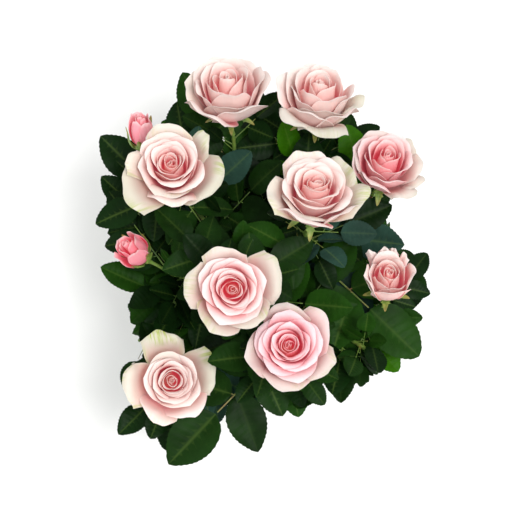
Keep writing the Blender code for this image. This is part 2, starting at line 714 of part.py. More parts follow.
class Bloom:
    """One flower on its own stalk. Its heart is the middle of the flower, on its axis."""

    def __init__(self, name, cane, heart, azimuth, lean, width, height, opening):
        self.name = name
        self.cane = cane
        self.axis = heading(azimuth, 90 - lean)
        self.width = width
        self.height = height
        self.opening = opening
        self.base = Vector(heart) - self.axis * height * 0.5
        self.foot = self.base - self.axis * (STALK_LENGTH + 0.006)
        self.side = square_to(self.axis, Vector((0, 1, 0)))
        self.other = self.axis.cross(self.side)

    def place(self, radius, height, azimuth=0.0, across=0.0):
        """A point of the flower: radius and height along its axis, across moves it sideways."""
        out = self.side * math.cos(azimuth) + self.other * math.sin(azimuth)
        wide = self.other * math.cos(azimuth) - self.side * math.sin(azimuth)
        return self.base + self.axis * height + out * radius + wide * across

    def petal_point(self, s, t, petal):
        """A point at share s from a petal's claw to its rim and share t from its middle to its side."""
        azimuth, (radius, height), length, half_width, lean, wrap = petal
        steps = 8
        for step in range(steps):
            u = s * (step + 0.5) / steps
            angle = math.radians(lean[0] * (1 - u) ** 2 + 2 * lean[1] * u * (1 - u) + lean[2] * u * u)
            radius += math.sin(angle) * length * s / steps
            height += math.cos(angle) * length * s / steps
        w = half_width * t
        radius += self.width * PINWHEEL * t * s
        bend = max(radius, 0.006) * wrap
        return self.place(radius - bend * (1 - math.cos(w / bend)), height, azimuth,
                          bend * math.sin(w / bend))

    def blade(self, parts, petal, outline, thickness):
        """A closed blade: its outline, and a middle point on each face."""
        points = [self.petal_point(s, t, petal) for s, t in outline]
        middle = self.petal_point(0.55, 0, petal)
        beyond = self.petal_point(0.60, 0, petal)
        out = square_to((beyond - middle).normalized(), self.place(1, 0, petal[0]) - self.base)
        count = len(points)
        points += [middle - out * thickness / 2, middle + out * thickness / 2]
        faces = [(i, (i + 1) % count, count) for i in range(count)]
        faces += [((i + 1) % count, i, count + 1) for i in range(count)]
        return mesh_object("blade", parts, points, faces)

    def whorl(self, parts, count, start, petal, outline, thickness, rng):
        """Blades set evenly round the axis, each turned a little off its place."""
        made = []
        for number in range(count):
            azimuth = math.tau * number / count + start + rng.uniform(-0.1, 0.1)
            made.append(self.blade(parts, (azimuth, *petal), outline, thickness))
        return made

    def core(self, parts):
        """The closed petals in the middle, as one egg on the hip."""
        o = self.opening
        wide = self.width * (0.46 - 0.26 * o)
        high = self.height * (0.50 if o == 0 else 0.42)
        work = bmesh.new()
        bmesh.ops.create_uvsphere(work, u_segments=8, v_segments=4, radius=1)
        turn = self.axis.to_track_quat("Z", "Y").to_matrix().to_4x4()
        middle = Matrix.Translation(self.base + self.axis * (high + 0.002))
        bmesh.ops.transform(work, verts=work.verts,
                            matrix=middle @ turn @ Matrix.Diagonal((wide, wide, high, 1)))
        mesh = bpy.data.meshes.new("core")
        work.to_mesh(mesh)
        work.free()
        core = bpy.data.objects.new("core", mesh)
        parts.objects.link(core)
        return core

    def make(self, parts):
        o, wide, high = self.opening, self.width, self.height
        rng = random.Random(self.name)
        hip = HIP_RADIUS if o > 0 else BUD_HIP_RADIUS
        along = (-STALK_LENGTH - 0.006, -0.007, -0.001, 0.006)
        stalk = tube(self.name, parts, [self.base + self.axis * step for step in along],
                     (STALK_RADIUS, STALK_RADIUS, hip, hip * 0.9))
        pieces = [self.core(parts)]
        if o > 0.4:
            inner = ((wide * 0.05, high * 0.16), high * 0.86, wide * 0.20, (58, 8, 15 + 30 * o), 1.1)
            pieces += self.whorl(parts, 4, 0.3, inner, PETAL_OUTLINE, PETAL_THICKNESS, rng)
        if o > 0:
            lean = (74, 18 + 16 * o, 30 + 80 * o)
            outer = ((0.001, 0.003), wide * (0.70 - 0.16 * o), wide * 0.27, lean, 1.35)
            count = 5 if o > 0.4 else 3
            pieces += self.whorl(parts, count, 0.0, outer, PETAL_OUTLINE, PETAL_THICKNESS, rng)
        rise = 20 + 100 * o
        length = SEPAL_LENGTH if o > 0 else BUD_SEPAL_LENGTH
        sepal = ((0.001, -0.003), length, SEPAL_HALF_WIDTH, (50 + 40 * o, rise, rise + 20), 3.0)
        pieces += self.whorl(parts, 5, 0.6, sepal, SEPAL_OUTLINE, SEPAL_THICKNESS, rng)
        return give(fuse(stalk, pieces, self.name), "petal")

    def envelope(self):
        """The turned space that the flower and its sepals take, for the leaves to stay clear of."""
        wide, high = self.width, self.height
        if self.opening == 0:
            rings = ((0.004, -0.008), (wide * 0.62, high * 0.15), (wide * 0.62, high * 0.80),
                     (0.004, high * 1.12))
        else:
            rings = ((0.004, -0.015), (0.021, -0.013), (0.025, 0.0), (wide * 0.46, high * 0.22),
                     (wide * 0.55, high * 0.45), (wide * 0.48, high * 0.95), (wide * 0.20, high * 1.10))
        points = [self.place(radius, height, math.tau * k / BLOOM_SIDES)
                  for radius, height in rings for k in range(BLOOM_SIDES)]
        faces = [(r * BLOOM_SIDES + k, r * BLOOM_SIDES + (k + 1) % BLOOM_SIDES,
                  (r + 1) * BLOOM_SIDES + (k + 1) % BLOOM_SIDES, (r + 1) * BLOOM_SIDES + k)
                 for r in range(len(rings) - 1) for k in range(BLOOM_SIDES)]
        return points, faces


# ---- the whole plant ----
def main():
    clear_scene()
    parts = new_collection("rose_bush")
    cutters = new_collection("cutters")
    make_pot(parts, cutters)
    make_compost(parts)
    make_root_crown(parts)

    canes = [Cane(number, azimuth) for number, azimuth in enumerate(CANE_AZIMUTHS)]
    blooms = [Bloom(*row) for row in BLOOMS]
    stems = []
    for number, cane in enumerate(canes):
        cane.make(parts)
        ends = [(b.foot - b.axis * GAP, b.axis) for b in blooms if b.cane == number]
        for home, tip in LEAFY_SHOOTS:
            if home == number:
                level = Vector((tip[0], tip[1], 0)).normalized()
                ends.append((Vector(tip), (level * 0.8 + UP * 0.6).normalized()))
        starts = fan(cane.axis, cane.knuckle, [tip for tip, _ in ends])
        for start, (tip, end) in zip(starts, ends):
            stems.append(Stem("shoot_%02d" % (len(stems) + 1), cane.knuckle, start, tip, end))

    crown = Crown()
    for bloom in blooms:
        crown.add(*bloom.envelope())
        crown.add(*bar(bloom.foot, bloom.base, STALK_RADIUS * 1.25 + GAP))
    for cane in canes:
        crown.add(*bar(cane.foot, cane.points[CANE_STEPS], CANE_RADIUS * 1.4 + GAP))
        crown.add(*bar(cane.points[CANE_STEPS], cane.knuckle, KNUCKLE_RADIUS * 1.3 + GAP))
    crown.add(*rim_shell())
    for stem in stems:
        for a, b in zip(stem.points, stem.points[1:]):
            crown.add(*bar(a, b, STEM_FOOT_RADIUS * 1.25 + GAP), owner=stem.name)

    grow_set_leaves(crown, stems)
    draws = [random.Random(100 + number) for number in range(len(stems))]
    for number in range(MOST_LEAVES):
        for stem, rng in zip(stems, draws):
            grow_leaf(crown, stem, number, rng)
    for stem in stems:
        make_shoot(parts, stem)
    for bloom in blooms:
        bloom.make(parts)


main()
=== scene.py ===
"""Patio rose in a black nursery pot: compost, canes, shoots, leaves, blooms and buds, in metres."""

import math
import random

import bpy
import numpy as np
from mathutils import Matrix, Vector, noise
from mathutils.bvhtree import BVHTree


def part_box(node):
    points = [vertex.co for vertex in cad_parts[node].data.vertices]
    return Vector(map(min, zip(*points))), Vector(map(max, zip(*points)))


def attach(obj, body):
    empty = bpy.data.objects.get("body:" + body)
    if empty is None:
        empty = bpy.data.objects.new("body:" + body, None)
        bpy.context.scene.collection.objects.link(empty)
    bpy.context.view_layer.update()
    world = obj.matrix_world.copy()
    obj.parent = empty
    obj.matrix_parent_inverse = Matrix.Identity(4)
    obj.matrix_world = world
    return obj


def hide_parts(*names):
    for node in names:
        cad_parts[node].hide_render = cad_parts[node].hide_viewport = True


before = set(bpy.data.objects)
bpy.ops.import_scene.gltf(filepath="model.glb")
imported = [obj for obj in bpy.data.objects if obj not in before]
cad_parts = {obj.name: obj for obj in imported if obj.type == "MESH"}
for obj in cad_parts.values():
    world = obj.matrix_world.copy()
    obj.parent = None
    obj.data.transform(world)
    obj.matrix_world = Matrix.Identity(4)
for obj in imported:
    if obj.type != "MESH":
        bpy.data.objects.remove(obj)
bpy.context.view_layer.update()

# ======== The stage: floor, lamps and camera ========
# The plant stands on a plain white studio floor. One large soft lamp hangs high on the right, so
# the shade falls short and to the left; a wide pale surround fills the rest.
FLOOR_SIZE = 8.0
FLOOR_WHITE = "#F4F4F3"
KEY_PLACE, KEY_SIZE, KEY_WATTS = (0.85, -0.75, 3.15), 1.10, 64.0
FILL_PLACE, FILL_SIZE, FILL_WATTS = (-0.9, -1.6, 3.0), 2.0, 16.0
SURROUND_WHITE, SURROUND_STRENGTH = "#FFFFFF", 0.93
VIEW_TARGET = Vector((0.0, 0.0, 0.230))
VIEW_DISTANCE, VIEW_ELEVATION = 1.30, 75.0
VIEW_WIDTH = 0.440          # what the camera sees across at the target
SENSOR = 36.0


def srgb(code):
    """Linear colour of an sRGB hex value."""
    shares = [int(code[i:i + 2], 16) / 255 for i in (1, 3, 5)]
    return (*[x / 12.92 if x <= 0.04045 else ((x + 0.055) / 1.055) ** 2.4 for x in shares], 1.0)


def plug(tree, box, inputs):
    """Give the inputs of a node their values or links; a node stands for its first output."""
    for key, value in dict(inputs).items():
        if isinstance(value, bpy.types.Node):
            value = value.outputs[0]
        if isinstance(value, bpy.types.NodeSocket):
            tree.links.new(value, box.inputs[key])
        else:
            box.inputs[key].default_value = value


def node(tree, kind, inputs=(), stops=(), **settings):
    """Add a node with its settings, its inputs as values or links, and the stops of a ramp."""
    made = tree.nodes.new(kind)
    for name, value in settings.items():
        setattr(made, name, value)
    plug(tree, made, inputs)
    for number, (place, colour) in enumerate(stops):
        ramp = made.color_ramp.elements
        stop = ramp[number] if number < 2 else ramp.new(place)
        stop.position, stop.color = place, srgb(colour) if isinstance(colour, str) else colour
    return made


def material(name):
    """A new material, with its tree and its Principled shader."""
    made = bpy.data.materials.new(name)
    made.use_nodes = True
    return made, made.node_tree, made.node_tree.nodes["Principled BSDF"]


def aim(thing, place, target):
    """Put a lamp or a camera at its place, turned to its target."""
    thing.location = place
    thing.rotation_euler = (Vector(target) - Vector(place)).to_track_quat("-Z", "Y").to_euler()
    bpy.context.scene.collection.objects.link(thing)


def soft_lamp(name, place, size, watts):
    """A round soft lamp that shines at the plant."""
    lamp = bpy.data.lights.new(name, "AREA")
    lamp.shape, lamp.size, lamp.energy = "DISK", size, watts
    aim(bpy.data.objects.new(name, lamp), place, VIEW_TARGET)


def mesh_piece(name, points, faces, edges=(), smooth=True):
    """A new object of a mesh that is given as arrays, at the origin."""
    mesh = bpy.data.meshes.new(name)
    mesh.from_pydata(np.asarray(points).tolist(), edges, faces)
    if smooth:
        mesh.shade_smooth()
    piece = bpy.data.objects.new(name, mesh)
    bpy.context.scene.collection.objects.link(piece)
    return piece


half = FLOOR_SIZE / 2
floor = mesh_piece("floor", [(-half, -half, 0), (half, -half, 0), (half, half, 0), (-half, half, 0)],
                   [(0, 1, 2, 3)])
# Matt studio paint: an even white without gloss.
floor_paint, tree, shader = material("studio_floor_paint")
plug(tree, shader, {"Base Color": srgb(FLOOR_WHITE), "Roughness": 0.9, "Specular IOR Level": 0.1})
floor.data.materials.append(floor_paint)

soft_lamp("key_lamp", KEY_PLACE, KEY_SIZE, KEY_WATTS)
soft_lamp("fill_lamp", FILL_PLACE, FILL_SIZE, FILL_WATTS)
surround = bpy.data.worlds.new("surround")
surround.use_nodes = True
plug(surround.node_tree, surround.node_tree.nodes["Background"],
     {"Color": srgb(SURROUND_WHITE), "Strength": SURROUND_STRENGTH})
bpy.context.scene.world = surround
bpy.context.scene.view_settings.view_transform = "Standard"

lens = bpy.data.cameras.new("camera")
lens.sensor_width = SENSOR
lens.lens = SENSOR * VIEW_DISTANCE / VIEW_WIDTH
camera = bpy.data.objects.new("camera", lens)
rise = math.radians(VIEW_ELEVATION)
aim(camera, VIEW_TARGET + Vector((0, -math.cos(rise), math.sin(rise))) * VIEW_DISTANCE, VIEW_TARGET)
bpy.context.scene.camera = camera

# ======== The pot ========
# A grower's pot of black polypropylene, injection moulded in one shot: a thin tapering wall, a
# rolled rim band, a stacking ledge inside and round drain holes in its foot.
RIM_RADIUS, _, POT_HEIGHT = Vector(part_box("pot")[1])
FOOT_RADIUS = 0.046
WALL, FLOOR_WALL, FLOOR_CORNER = 0.0022, 0.0030, 0.001
LIP, LIP_HEIGHT, LIP_ROLL = 0.0030, 0.013, 0.0009
LIP_DRAFT, LIP_EDGE, LIP_FILLET = 0.0006, 0.0005, 0.0004    # of the band's lower edge
LEDGE_DROP, LEDGE_STEP, LEDGE_SLOPE = 0.028, 0.0002, 0.001
BELT_HEIGHT = 0.030         # a ring of points here keeps the wall's shading even
FOOT_EDGE = 0.0008
POT_STEPS = 120
DRAIN_HOLES, DRAIN_RADIUS, DRAIN_CIRCLE, DRAIN_STEPS = 6, 0.0045, 0.033, 32
MOULD_GRIT_MM = 0.5         # the fine spark texture of the mould, drawn coarser so that it shows
SCUFF_MM = 26.3             # a patch of scuffed skin
POT_BLACK, POT_SCUFF = "#141517", "#2D2F33"


def unit(vectors):
    """The rows of an array at length one."""
    return vectors / np.maximum(np.linalg.norm(vectors, axis=-1, keepdims=True), 1e-12)


def pot_radius(height):
    """Outer radius of the tapering wall."""
    return FOOT_RADIUS + (RIM_RADIUS - LIP - FOOT_RADIUS) * height / POT_HEIGHT


def turned(name, profile, steps):
    """A turned body from its profile of (radius, height), which starts and ends on the axis."""
    turns = np.arange(steps) * math.tau / steps
    rings = [np.stack((r * np.cos(turns), r * np.sin(turns), np.full(steps, h)), 1)
             for r, h in profile[1:-1]]
    points = np.concatenate([[(0, 0, profile[0][1])]] + rings + [[(0, 0, profile[-1][1])]])
    k = np.arange(steps)
    after = (k + 1) % steps
    faces = [(0, 1 + a, 1 + b) for a, b in zip(k, after)]
    for ring in range(len(rings) - 1):
        low = 1 + ring * steps
        faces += [(low + b, low + a, low + steps + a, low + steps + b) for a, b in zip(k, after)]
    last, low = len(points) - 1, 1 + (len(rings) - 1) * steps
    faces += [(last, low + b, low + a) for a, b in zip(k, after)]
    return mesh_piece(name, points, faces, smooth=False)


def settle(piece):
    """Replace a piece's modifiers by the mesh that they give."""
    bpy.context.view_layer.update()
    graph = bpy.context.evaluated_depsgraph_get()
    mesh = bpy.data.meshes.new_from_object(piece.evaluated_get(graph))
    piece.modifiers.clear()
    piece.data = mesh
    return piece


def arc(centre_r, centre_h, radius, start, end, count):
    """Points of a round edge in the profile, by angles from the outward level."""
    angles = [math.radians(a) for a in np.linspace(start, end, count)]
    return [(centre_r + radius * math.cos(a), centre_h + radius * math.sin(a)) for a in angles]


step = POT_HEIGHT - LIP_HEIGHT
ledge = POT_HEIGHT - LEDGE_DROP
inner = RIM_RADIUS - WALL - LIP
profile = [(0.0, FLOOR_WALL), (pot_radius(FLOOR_WALL) - WALL - FLOOR_CORNER, FLOOR_WALL)]
profile += [(pot_radius(ledge) - WALL - LEDGE_STEP, ledge - LEDGE_SLOPE), (pot_radius(ledge) - WALL, ledge)]
profile += arc(inner + LIP_ROLL, POT_HEIGHT - LIP_ROLL, LIP_ROLL, 180, 90, 5)
profile += arc(RIM_RADIUS - LIP_ROLL, POT_HEIGHT - LIP_ROLL, LIP_ROLL, 90, 0, 5)
profile += [(RIM_RADIUS - LIP_DRAFT / 2, POT_HEIGHT - 0.006)]
profile += arc(RIM_RADIUS - LIP_DRAFT - LIP_EDGE, step + LIP_EDGE, LIP_EDGE, 0, -90, 4)
profile += [(pot_radius(step) + LIP_FILLET, step), (pot_radius(step), step - LIP_FILLET)]
profile += [(pot_radius(BELT_HEIGHT), BELT_HEIGHT)]
profile += arc(FOOT_RADIUS - FOOT_EDGE * 0.2, FOOT_EDGE, FOOT_EDGE, 0, -90, 4)
profile += [(0.0, 0.0)]
pot = turned("pot_moulded", profile, POT_STEPS)
drains = []
for number in range(DRAIN_HOLES):
    angle = math.tau * number / DRAIN_HOLES
    bpy.ops.mesh.primitive_cylinder_add(vertices=DRAIN_STEPS, radius=DRAIN_RADIUS, depth=FLOOR_WALL * 4)
    hole = bpy.context.object
    hole.location = (DRAIN_CIRCLE * math.cos(angle), DRAIN_CIRCLE * math.sin(angle), 0)
    drains.append(hole)
    cut = pot.modifiers.new("drain hole", "BOOLEAN")
    cut.operation, cut.object, cut.solver = "DIFFERENCE", hole, "EXACT"
settle(pot)
for hole in drains:
    bpy.data.objects.remove(hole, do_unlink=True)
pot.data.shade_smooth()
pot.data.set_sharp_from_angle(angle=math.radians(50))

# Moulded polypropylene: nearly black, with the even matt grain of the mould and faint grey scuffs.
plastic, tree, shader = material("moulded_black_polypropylene")
place = node(tree, "ShaderNodeTexCoord").outputs["Object"]
grit = node(tree, "ShaderNodeTexNoise", {"Vector": place, "Scale": 1000 / MOULD_GRIT_MM / 2, "Detail": 2.0})
scuff = node(tree, "ShaderNodeTexNoise", {"Vector": place, "Scale": 1000 / SCUFF_MM, "Detail": 5.0,
                                          "Roughness": 0.7})
worn = node(tree, "ShaderNodeValToRGB", {"Fac": scuff}, [(0.55, POT_BLACK), (0.80, POT_SCUFF)])
gloss = node(tree, "ShaderNodeMapRange", {"Value": scuff, "From Min": 0.3, "From Max": 0.75,
                                          "To Min": 0.40, "To Max": 0.58})
relief = node(tree, "ShaderNodeBump", {"Height": grit, "Strength": 0.25, "Distance": 0.0002})
plug(tree, shader, {"Base Color": worn, "Roughness": gloss, "Normal": relief, "IOR": 1.49})
pot.data.materials.append(plastic)
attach(pot, "root")
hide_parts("pot")

# ======== The compost ========
# Moist peat and bark compost, pressed in round the roots and slightly domed to the plant. Its
# surface is lumpy, with loose crumbs and a few bark chips lying on it.
COMPOST_TOP, COMPOST_DOME = 0.100, 0.0035
COMPOST_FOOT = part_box("compost")[0][2]
COMPOST_RINGS, COMPOST_STEPS, COMPOST_EDGE = 30, 96, 0.003
GAP = 0.0003                # between pieces that only touch
LUMP_SIZE, LUMP_HEIGHT = 0.007, 0.0016
PEAT_GRAIN_MM = 2.38        # the mottle of crumbs too small to be made
CRUMB_SIZE, CRUMBS_PER_M2 = 0.0016, 150000.0
CHIP_SIZE, CHIPS_PER_M2 = 0.0042, 6500.0
COMPOST_DARK_AND_HOLLOW_SHADE, COMPOST_LIGHT = "#1E150F", "#4A3526"

compost_radius = pot_radius(COMPOST_TOP) - WALL - GAP
profile = [(0.0, COMPOST_TOP + COMPOST_DOME)]
profile += [(r, COMPOST_TOP + COMPOST_DOME * (1 - (r / compost_radius) ** 2))
            for r in np.linspace(0.002, compost_radius - 0.0004, COMPOST_RINGS)]
profile += [(compost_radius, COMPOST_TOP - COMPOST_EDGE),
            (pot_radius(COMPOST_FOOT) - WALL - 2 * GAP, COMPOST_FOOT), (0.0, COMPOST_FOOT)]
compost = turned("compost_bed", profile, COMPOST_STEPS)
for point in compost.data.vertices:
    if point.co.z > COMPOST_TOP - 0.001:
        lump = noise.noise(point.co / LUMP_SIZE) + 0.5 * noise.noise(point.co / LUMP_SIZE * 2.7)
        point.co.z += LUMP_HEIGHT * (lump - 0.3) * 0.7
compost.data.shade_smooth()


def grower(name, start, sizes, result):
    """A Geometry Nodes tree with named inputs: the geometry that it starts from, and its sizes."""
    tree = bpy.data.node_groups.new(name, "GeometryNodeTree")
    tree.interface.new_socket(start, in_out="INPUT", socket_type="NodeSocketGeometry")
    for label in sizes:
        tree.interface.new_socket(label, in_out="INPUT", socket_type="NodeSocketFloat")
    tree.interface.new_socket(result, in_out="OUTPUT", socket_type="NodeSocketGeometry")
    return tree, node(tree, "NodeGroupInput").outputs


def grown(piece, tree, result, laid, paint, sizes):
    """End a tree in real geometry with its material, run it on a piece and keep what it gives."""
    real = node(tree, "GeometryNodeRealizeInstances", {"Geometry": laid})
    named = node(tree, "GeometryNodeSetMaterial", {"Geometry": real, "Material": paint})
    node(tree, "NodeGroupOutput", {result: named})
    modifier = piece.modifiers.new(tree.name, "NODES")
    modifier.node_group = tree
    sockets = {item.name: item.identifier for item in tree.interface.items_tree if item.in_out == "INPUT"}
    for label, size in sizes.items():
        modifier[sockets[label]] = size
    return settle(piece)


def strewn(name, surface, size, per_area, seed, flat, paint):
    """Small lumps of a material scattered on the top of a surface, as one plain mesh."""
    piece = bpy.data.objects.new(name, surface.data.copy())
    bpy.context.scene.collection.objects.link(piece)
    sizes = {"Size": size, "Per Area": per_area}
    tree, given = grower(name, "Surface", sizes, "Lumps")
    spots = node(tree, "GeometryNodeDistributePointsOnFaces",
                 {"Mesh": given["Surface"], "Density": given["Per Area"], "Seed": seed})
    place = node(tree, "GeometryNodeInputPosition")
    height = node(tree, "ShaderNodeSeparateXYZ", {"Vector": place})
    low = node(tree, "FunctionNodeCompare", {"A": height.outputs["Z"], "B": COMPOST_TOP - 0.002},
               operation="LESS_THAN")
    top = node(tree, "GeometryNodeDeleteGeometry",
               {"Geometry": spots, "Selection": low}, domain="POINT")
    lump = node(tree, "GeometryNodeMeshIcoSphere", {"Radius": given["Size"], "Subdivisions": 1})
    grow = node(tree, "FunctionNodeRandomValue",
                {"Min": (0.25, 0.2, 0.2 * flat), "Max": (1.0, 0.8, 0.7 * flat)}, data_type="FLOAT_VECTOR")
    turn = node(tree, "FunctionNodeRandomValue",
                {"Min": (-0.5 * flat, -0.5 * flat, 0.0), "Max": (0.5 * flat, 0.5 * flat, math.tau)},
                data_type="FLOAT_VECTOR")
    laid = node(tree, "GeometryNodeInstanceOnPoints",
                {"Points": top, "Instance": lump,
                 "Rotation": turn, "Scale": grow})
    return grown(piece, tree, "Lumps", laid, paint, sizes)


# Moist peat compost: dark peat brown, warm brown on the crumbs, with no shine; the same noise makes the
# relief, so the near black in its hollows is partly painted shade.
peat, tree, shader = material("moist_peat_compost")
place = node(tree, "ShaderNodeTexCoord").outputs["Object"]
mottle = node(tree, "ShaderNodeTexNoise", {"Vector": place, "Scale": 1000 / PEAT_GRAIN_MM, "Detail": 4.0,
                                           "Roughness": 0.7})
# partly painted shade: the colour is darkest where the relief dips
tone = node(tree, "ShaderNodeValToRGB", {"Fac": mottle}, [(0.35, COMPOST_DARK_AND_HOLLOW_SHADE), (0.72, COMPOST_LIGHT)])
relief = node(tree, "ShaderNodeBump", {"Height": mottle, "Strength": 0.8, "Distance": 0.0006})
plug(tree, shader, {"Base Color": tone, "Normal": relief, "Roughness": 0.92})
compost.data.materials.append(peat)
crumbs = strewn("compost_crumbs", compost, CRUMB_SIZE, CRUMBS_PER_M2, 3, 1.0, peat)
chips = strewn("compost_bark_chips", compost, CHIP_SIZE, CHIPS_PER_M2, 8, 0.35, peat)
for piece in (compost, crumbs, chips):
    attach(piece, "root")
    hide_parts("compost")

# ======== The root crown and the canes ========
# The woody foot of the rose, where it was budded: a lumpy knot that five short canes leave. Each
# cane thins, then ends in the swollen knuckle that last season's pruning left.
CROWN_FOOT_RADIUS, CROWN_WAIST_RADIUS, CROWN_DOME_RADIUS = 0.0160, 0.0125, 0.0135
CROWN_FOOT_DEPTH, CROWN_NECK_RADIUS, CROWN_NECK_HEIGHT, CROWN_WAIST_DROP = 0.001, 0.0135, 0.005, 0.004
CROWN_STEPS = 64
CROWN_RIDGE, CROWN_KNOB = 0.0006, 0.0011
CROWN_CENTRE = Vector((0, 0, 0.115))
CANE_AZIMUTHS = (18, 90, 160, 232, 304)
CANE_RISE, CANE_BEND = 46, 14
CANE_LENGTH, CANE_RADIUS, CANE_TIP_RADIUS, CANE_FLARE = 0.036, 0.0036, 0.0030, 1.12
CANE_STEPS = 5
CANE_RINGS, CANE_SIDES = 40, 24
CANE_ROOT_DEPTH, FLARE_FADE = 0.0045, 0.006     # in the root crown, and along the cane
KNUCKLE_RADIUS, KNUCKLE_SPREAD = 0.0060, 38
KNUCKLE_END, KNUCKLE_END_RADIUS = 0.9, 0.0012   # the wood ends at this share of the knuckle's radius
BARK_RIDGE_MM, BARK_RIDGES = 0.35, 9
BARK_MOTTLE_MM, PORE_MM = 3.85, 2.38
BARK_AGES = (0.118, 0.152)  # heights that it is oldest up to and youngest from
BARK_SEED = 40
BARK_FOOT, BARK_GREEN, BARK_PALE = "#4B3A26", "#56622B", "#8A7A52"
UP = Vector((0, 0, 1))


def heading(azimuth, rise):
    """A unit vector from a compass angle about +Z and a rise above the level, in degrees."""
    a, r = math.radians(azimuth), math.radians(rise)
    return Vector((math.cos(a) * math.cos(r), math.sin(a) * math.cos(r), math.sin(r)))


def square_to(direction, wish=UP):
    """The unit vector nearest to wish that is square to direction."""
    side = wish - direction * wish.dot(direction)
    if side.length < 0.01:
        side = direction.orthogonal()
    return side.normalized()


class Cane:
    """One woody bough: it leaves the root crown, tapers, and ends in a swollen knuckle."""

    def __init__(self, number, azimuth):
        self.name = "cane_%d" % (number + 1)
        out = heading(azimuth, CANE_RISE)
        self.foot = CROWN_CENTRE + out * (CROWN_DOME_RADIUS + GAP)
        bend = heading(azimuth, CANE_RISE + CANE_BEND)
        self.points = [self.foot]
        for step in range(CANE_STEPS):
            course = out.lerp(bend, (step + 1) / CANE_STEPS).normalized()
            self.points.append(self.points[-1] + course * CANE_LENGTH / CANE_STEPS)
        self.axis = (self.points[-1] - self.points[-2]).normalized()
        self.knuckle = self.points[-1] + self.axis * KNUCKLE_RADIUS * 0.85


def rows_of(places):
    """Vectors as the rows of an array."""
    return np.array([tuple(place) for place in places], float)


def course_at(marks, lengths, knots):
    """Points at marks along a course, from its knots and how far along it each of them lies."""
    return np.stack([np.interp(marks, lengths, knots[:, i]) for i in range(3)], 1)


def sweep(course, radii, sides):
    """A closed limb along a course: radii holds one value for each ring, or one for each corner."""
    course = rows_of(course)
    along = unit(np.gradient(course, axis=0))
    side = np.array(square_to(Vector(along[0]), Vector((0.3, 0.2, 1))))
    rings = []
    turns = np.arange(sides) * math.tau / sides
    for place, axis, radius in zip(course, along, radii):
        side = unit(side - axis * side.dot(axis))
        other = np.cross(axis, side)
        rings.append(place + (np.cos(turns)[:, None] * side + np.sin(turns)[:, None] * other)
                     * np.reshape(radius, (-1, 1)))
    count = len(course)
    tips = [course[0] - along[0] * np.mean(radii[0]) * 0.4,
            course[-1] + along[-1] * np.mean(radii[-1]) * 0.6]
    points = np.concatenate(rings + [tips])
    k = np.arange(sides)
    after = (k + 1) % sides
    low = (np.arange(count - 1) * sides)[:, None]
    quads = np.stack((low + k, low + after, low + sides + after, low + sides + k), -1).reshape(-1, 4)
    caps = [np.stack((after, k, np.full(sides, count * sides)), 1),
            np.stack((k, after, np.full(sides, count * sides + 1)), 1)]
    caps[1][:, :2] += (count - 1) * sides
    return points, quads, np.concatenate(caps)


class Joined:
    """Many small meshes gathered into one piece, with values for each of their points."""

    def __init__(self):
        self.points, self.faces, self.values, self.paints, self.count = [], [], {}, [], 0

    def add(self, points, *blocks, paints=None, **values):
        for block, paint in zip(blocks, paints or [0] * len(blocks)):
            self.faces += (np.asarray(block) + self.count).tolist()
            self.paints += [paint] * len(block)
        self.points.append(np.asarray(points))
        for name, value in values.items():
            self.values.setdefault(name, []).append(np.broadcast_to(value, len(points)))
        self.count += len(points)

    def piece(self, name, paints, slot, nodes, sharp=None):
        made = mesh_piece(name, np.concatenate(self.points), self.faces)
        for key, value in self.values.items():
            layer = made.data.attributes.new(key, "FLOAT", "POINT")
            layer.data.foreach_set("value", np.concatenate(value).astype(np.float32))
        for paint in paints:
            made.data.materials.append(paint)
        made.data.polygons.foreach_set("material_index", self.paints)
        if sharp:
            made.data.set_sharp_from_angle(angle=math.radians(sharp))
        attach(made, "root")
        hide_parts(*nodes)
        return made


def ridged(course, radii, sides, rng):
    """Radii with the ridges of old bark, deepest at the foot of the limb."""
    count = len(course)
    turns = np.arange(sides) * math.tau / sides
    phase = rng.uniform(0, math.tau, 3)
    share = np.linspace(0, 1, count)[:, None]
    ridges = np.sin(BARK_RIDGES * turns + phase[0] + 1.5 * np.sin(9 * share + phase[1]))
    lumps = np.sin(2 * turns + 14 * share + phase[2]) * 0.4 + rng.uniform(-0.35, 0.35, (count, sides))
    relief = BARK_RIDGE_MM / 1000 * (ridges + lumps) * (0.75 - 0.45 * share) / 1.4
    return np.asarray(radii)[:, None] + relief


canes = [Cane(number, azimuth) for number, azimuth in enumerate(CANE_AZIMUTHS)]
wood = Joined()
for number, cane in enumerate(canes):
    rng = np.random.default_rng(BARK_SEED + number)
    start = cane.foot - (cane.points[1] - cane.foot).normalized() * CANE_ROOT_DEPTH
    knots = rows_of([start] + cane.points + [cane.knuckle + cane.axis * KNUCKLE_RADIUS * KNUCKLE_END])
    lengths = np.concatenate(([0], np.cumsum(np.linalg.norm(np.diff(knots, axis=0), axis=1))))
    marks = np.linspace(0, lengths[-1], CANE_RINGS)
    course = course_at(marks, lengths, knots)
    flare = 1 + (CANE_FLARE * 1.25 - 1) * np.exp(-marks / FLARE_FADE)
    thick = (CANE_RADIUS + (CANE_TIP_RADIUS - CANE_RADIUS) * marks / lengths[-1]) * flare
    off = np.linalg.norm(course - np.array(cane.knuckle), axis=1) / KNUCKLE_RADIUS
    bulge = np.sqrt(np.clip(1 - off ** 2, 0, 1)) * KNUCKLE_RADIUS
    thinned = thick * np.where(marks > lengths[-1] - 0.004, 0.8, 1)
    thick = np.where((off < 1) & (bulge > thick), bulge, thinned)
    # over the knuckle's outer half the wood is never thicker than its ball
    ball = np.maximum(bulge, KNUCKLE_END_RADIUS)
    thick = np.minimum(thick, ball + np.where(marks > lengths[-1] - KNUCKLE_RADIUS, 0, 1))
    wood.add(*sweep(course, ridged(course, thick, CANE_SIDES, rng), CANE_SIDES))

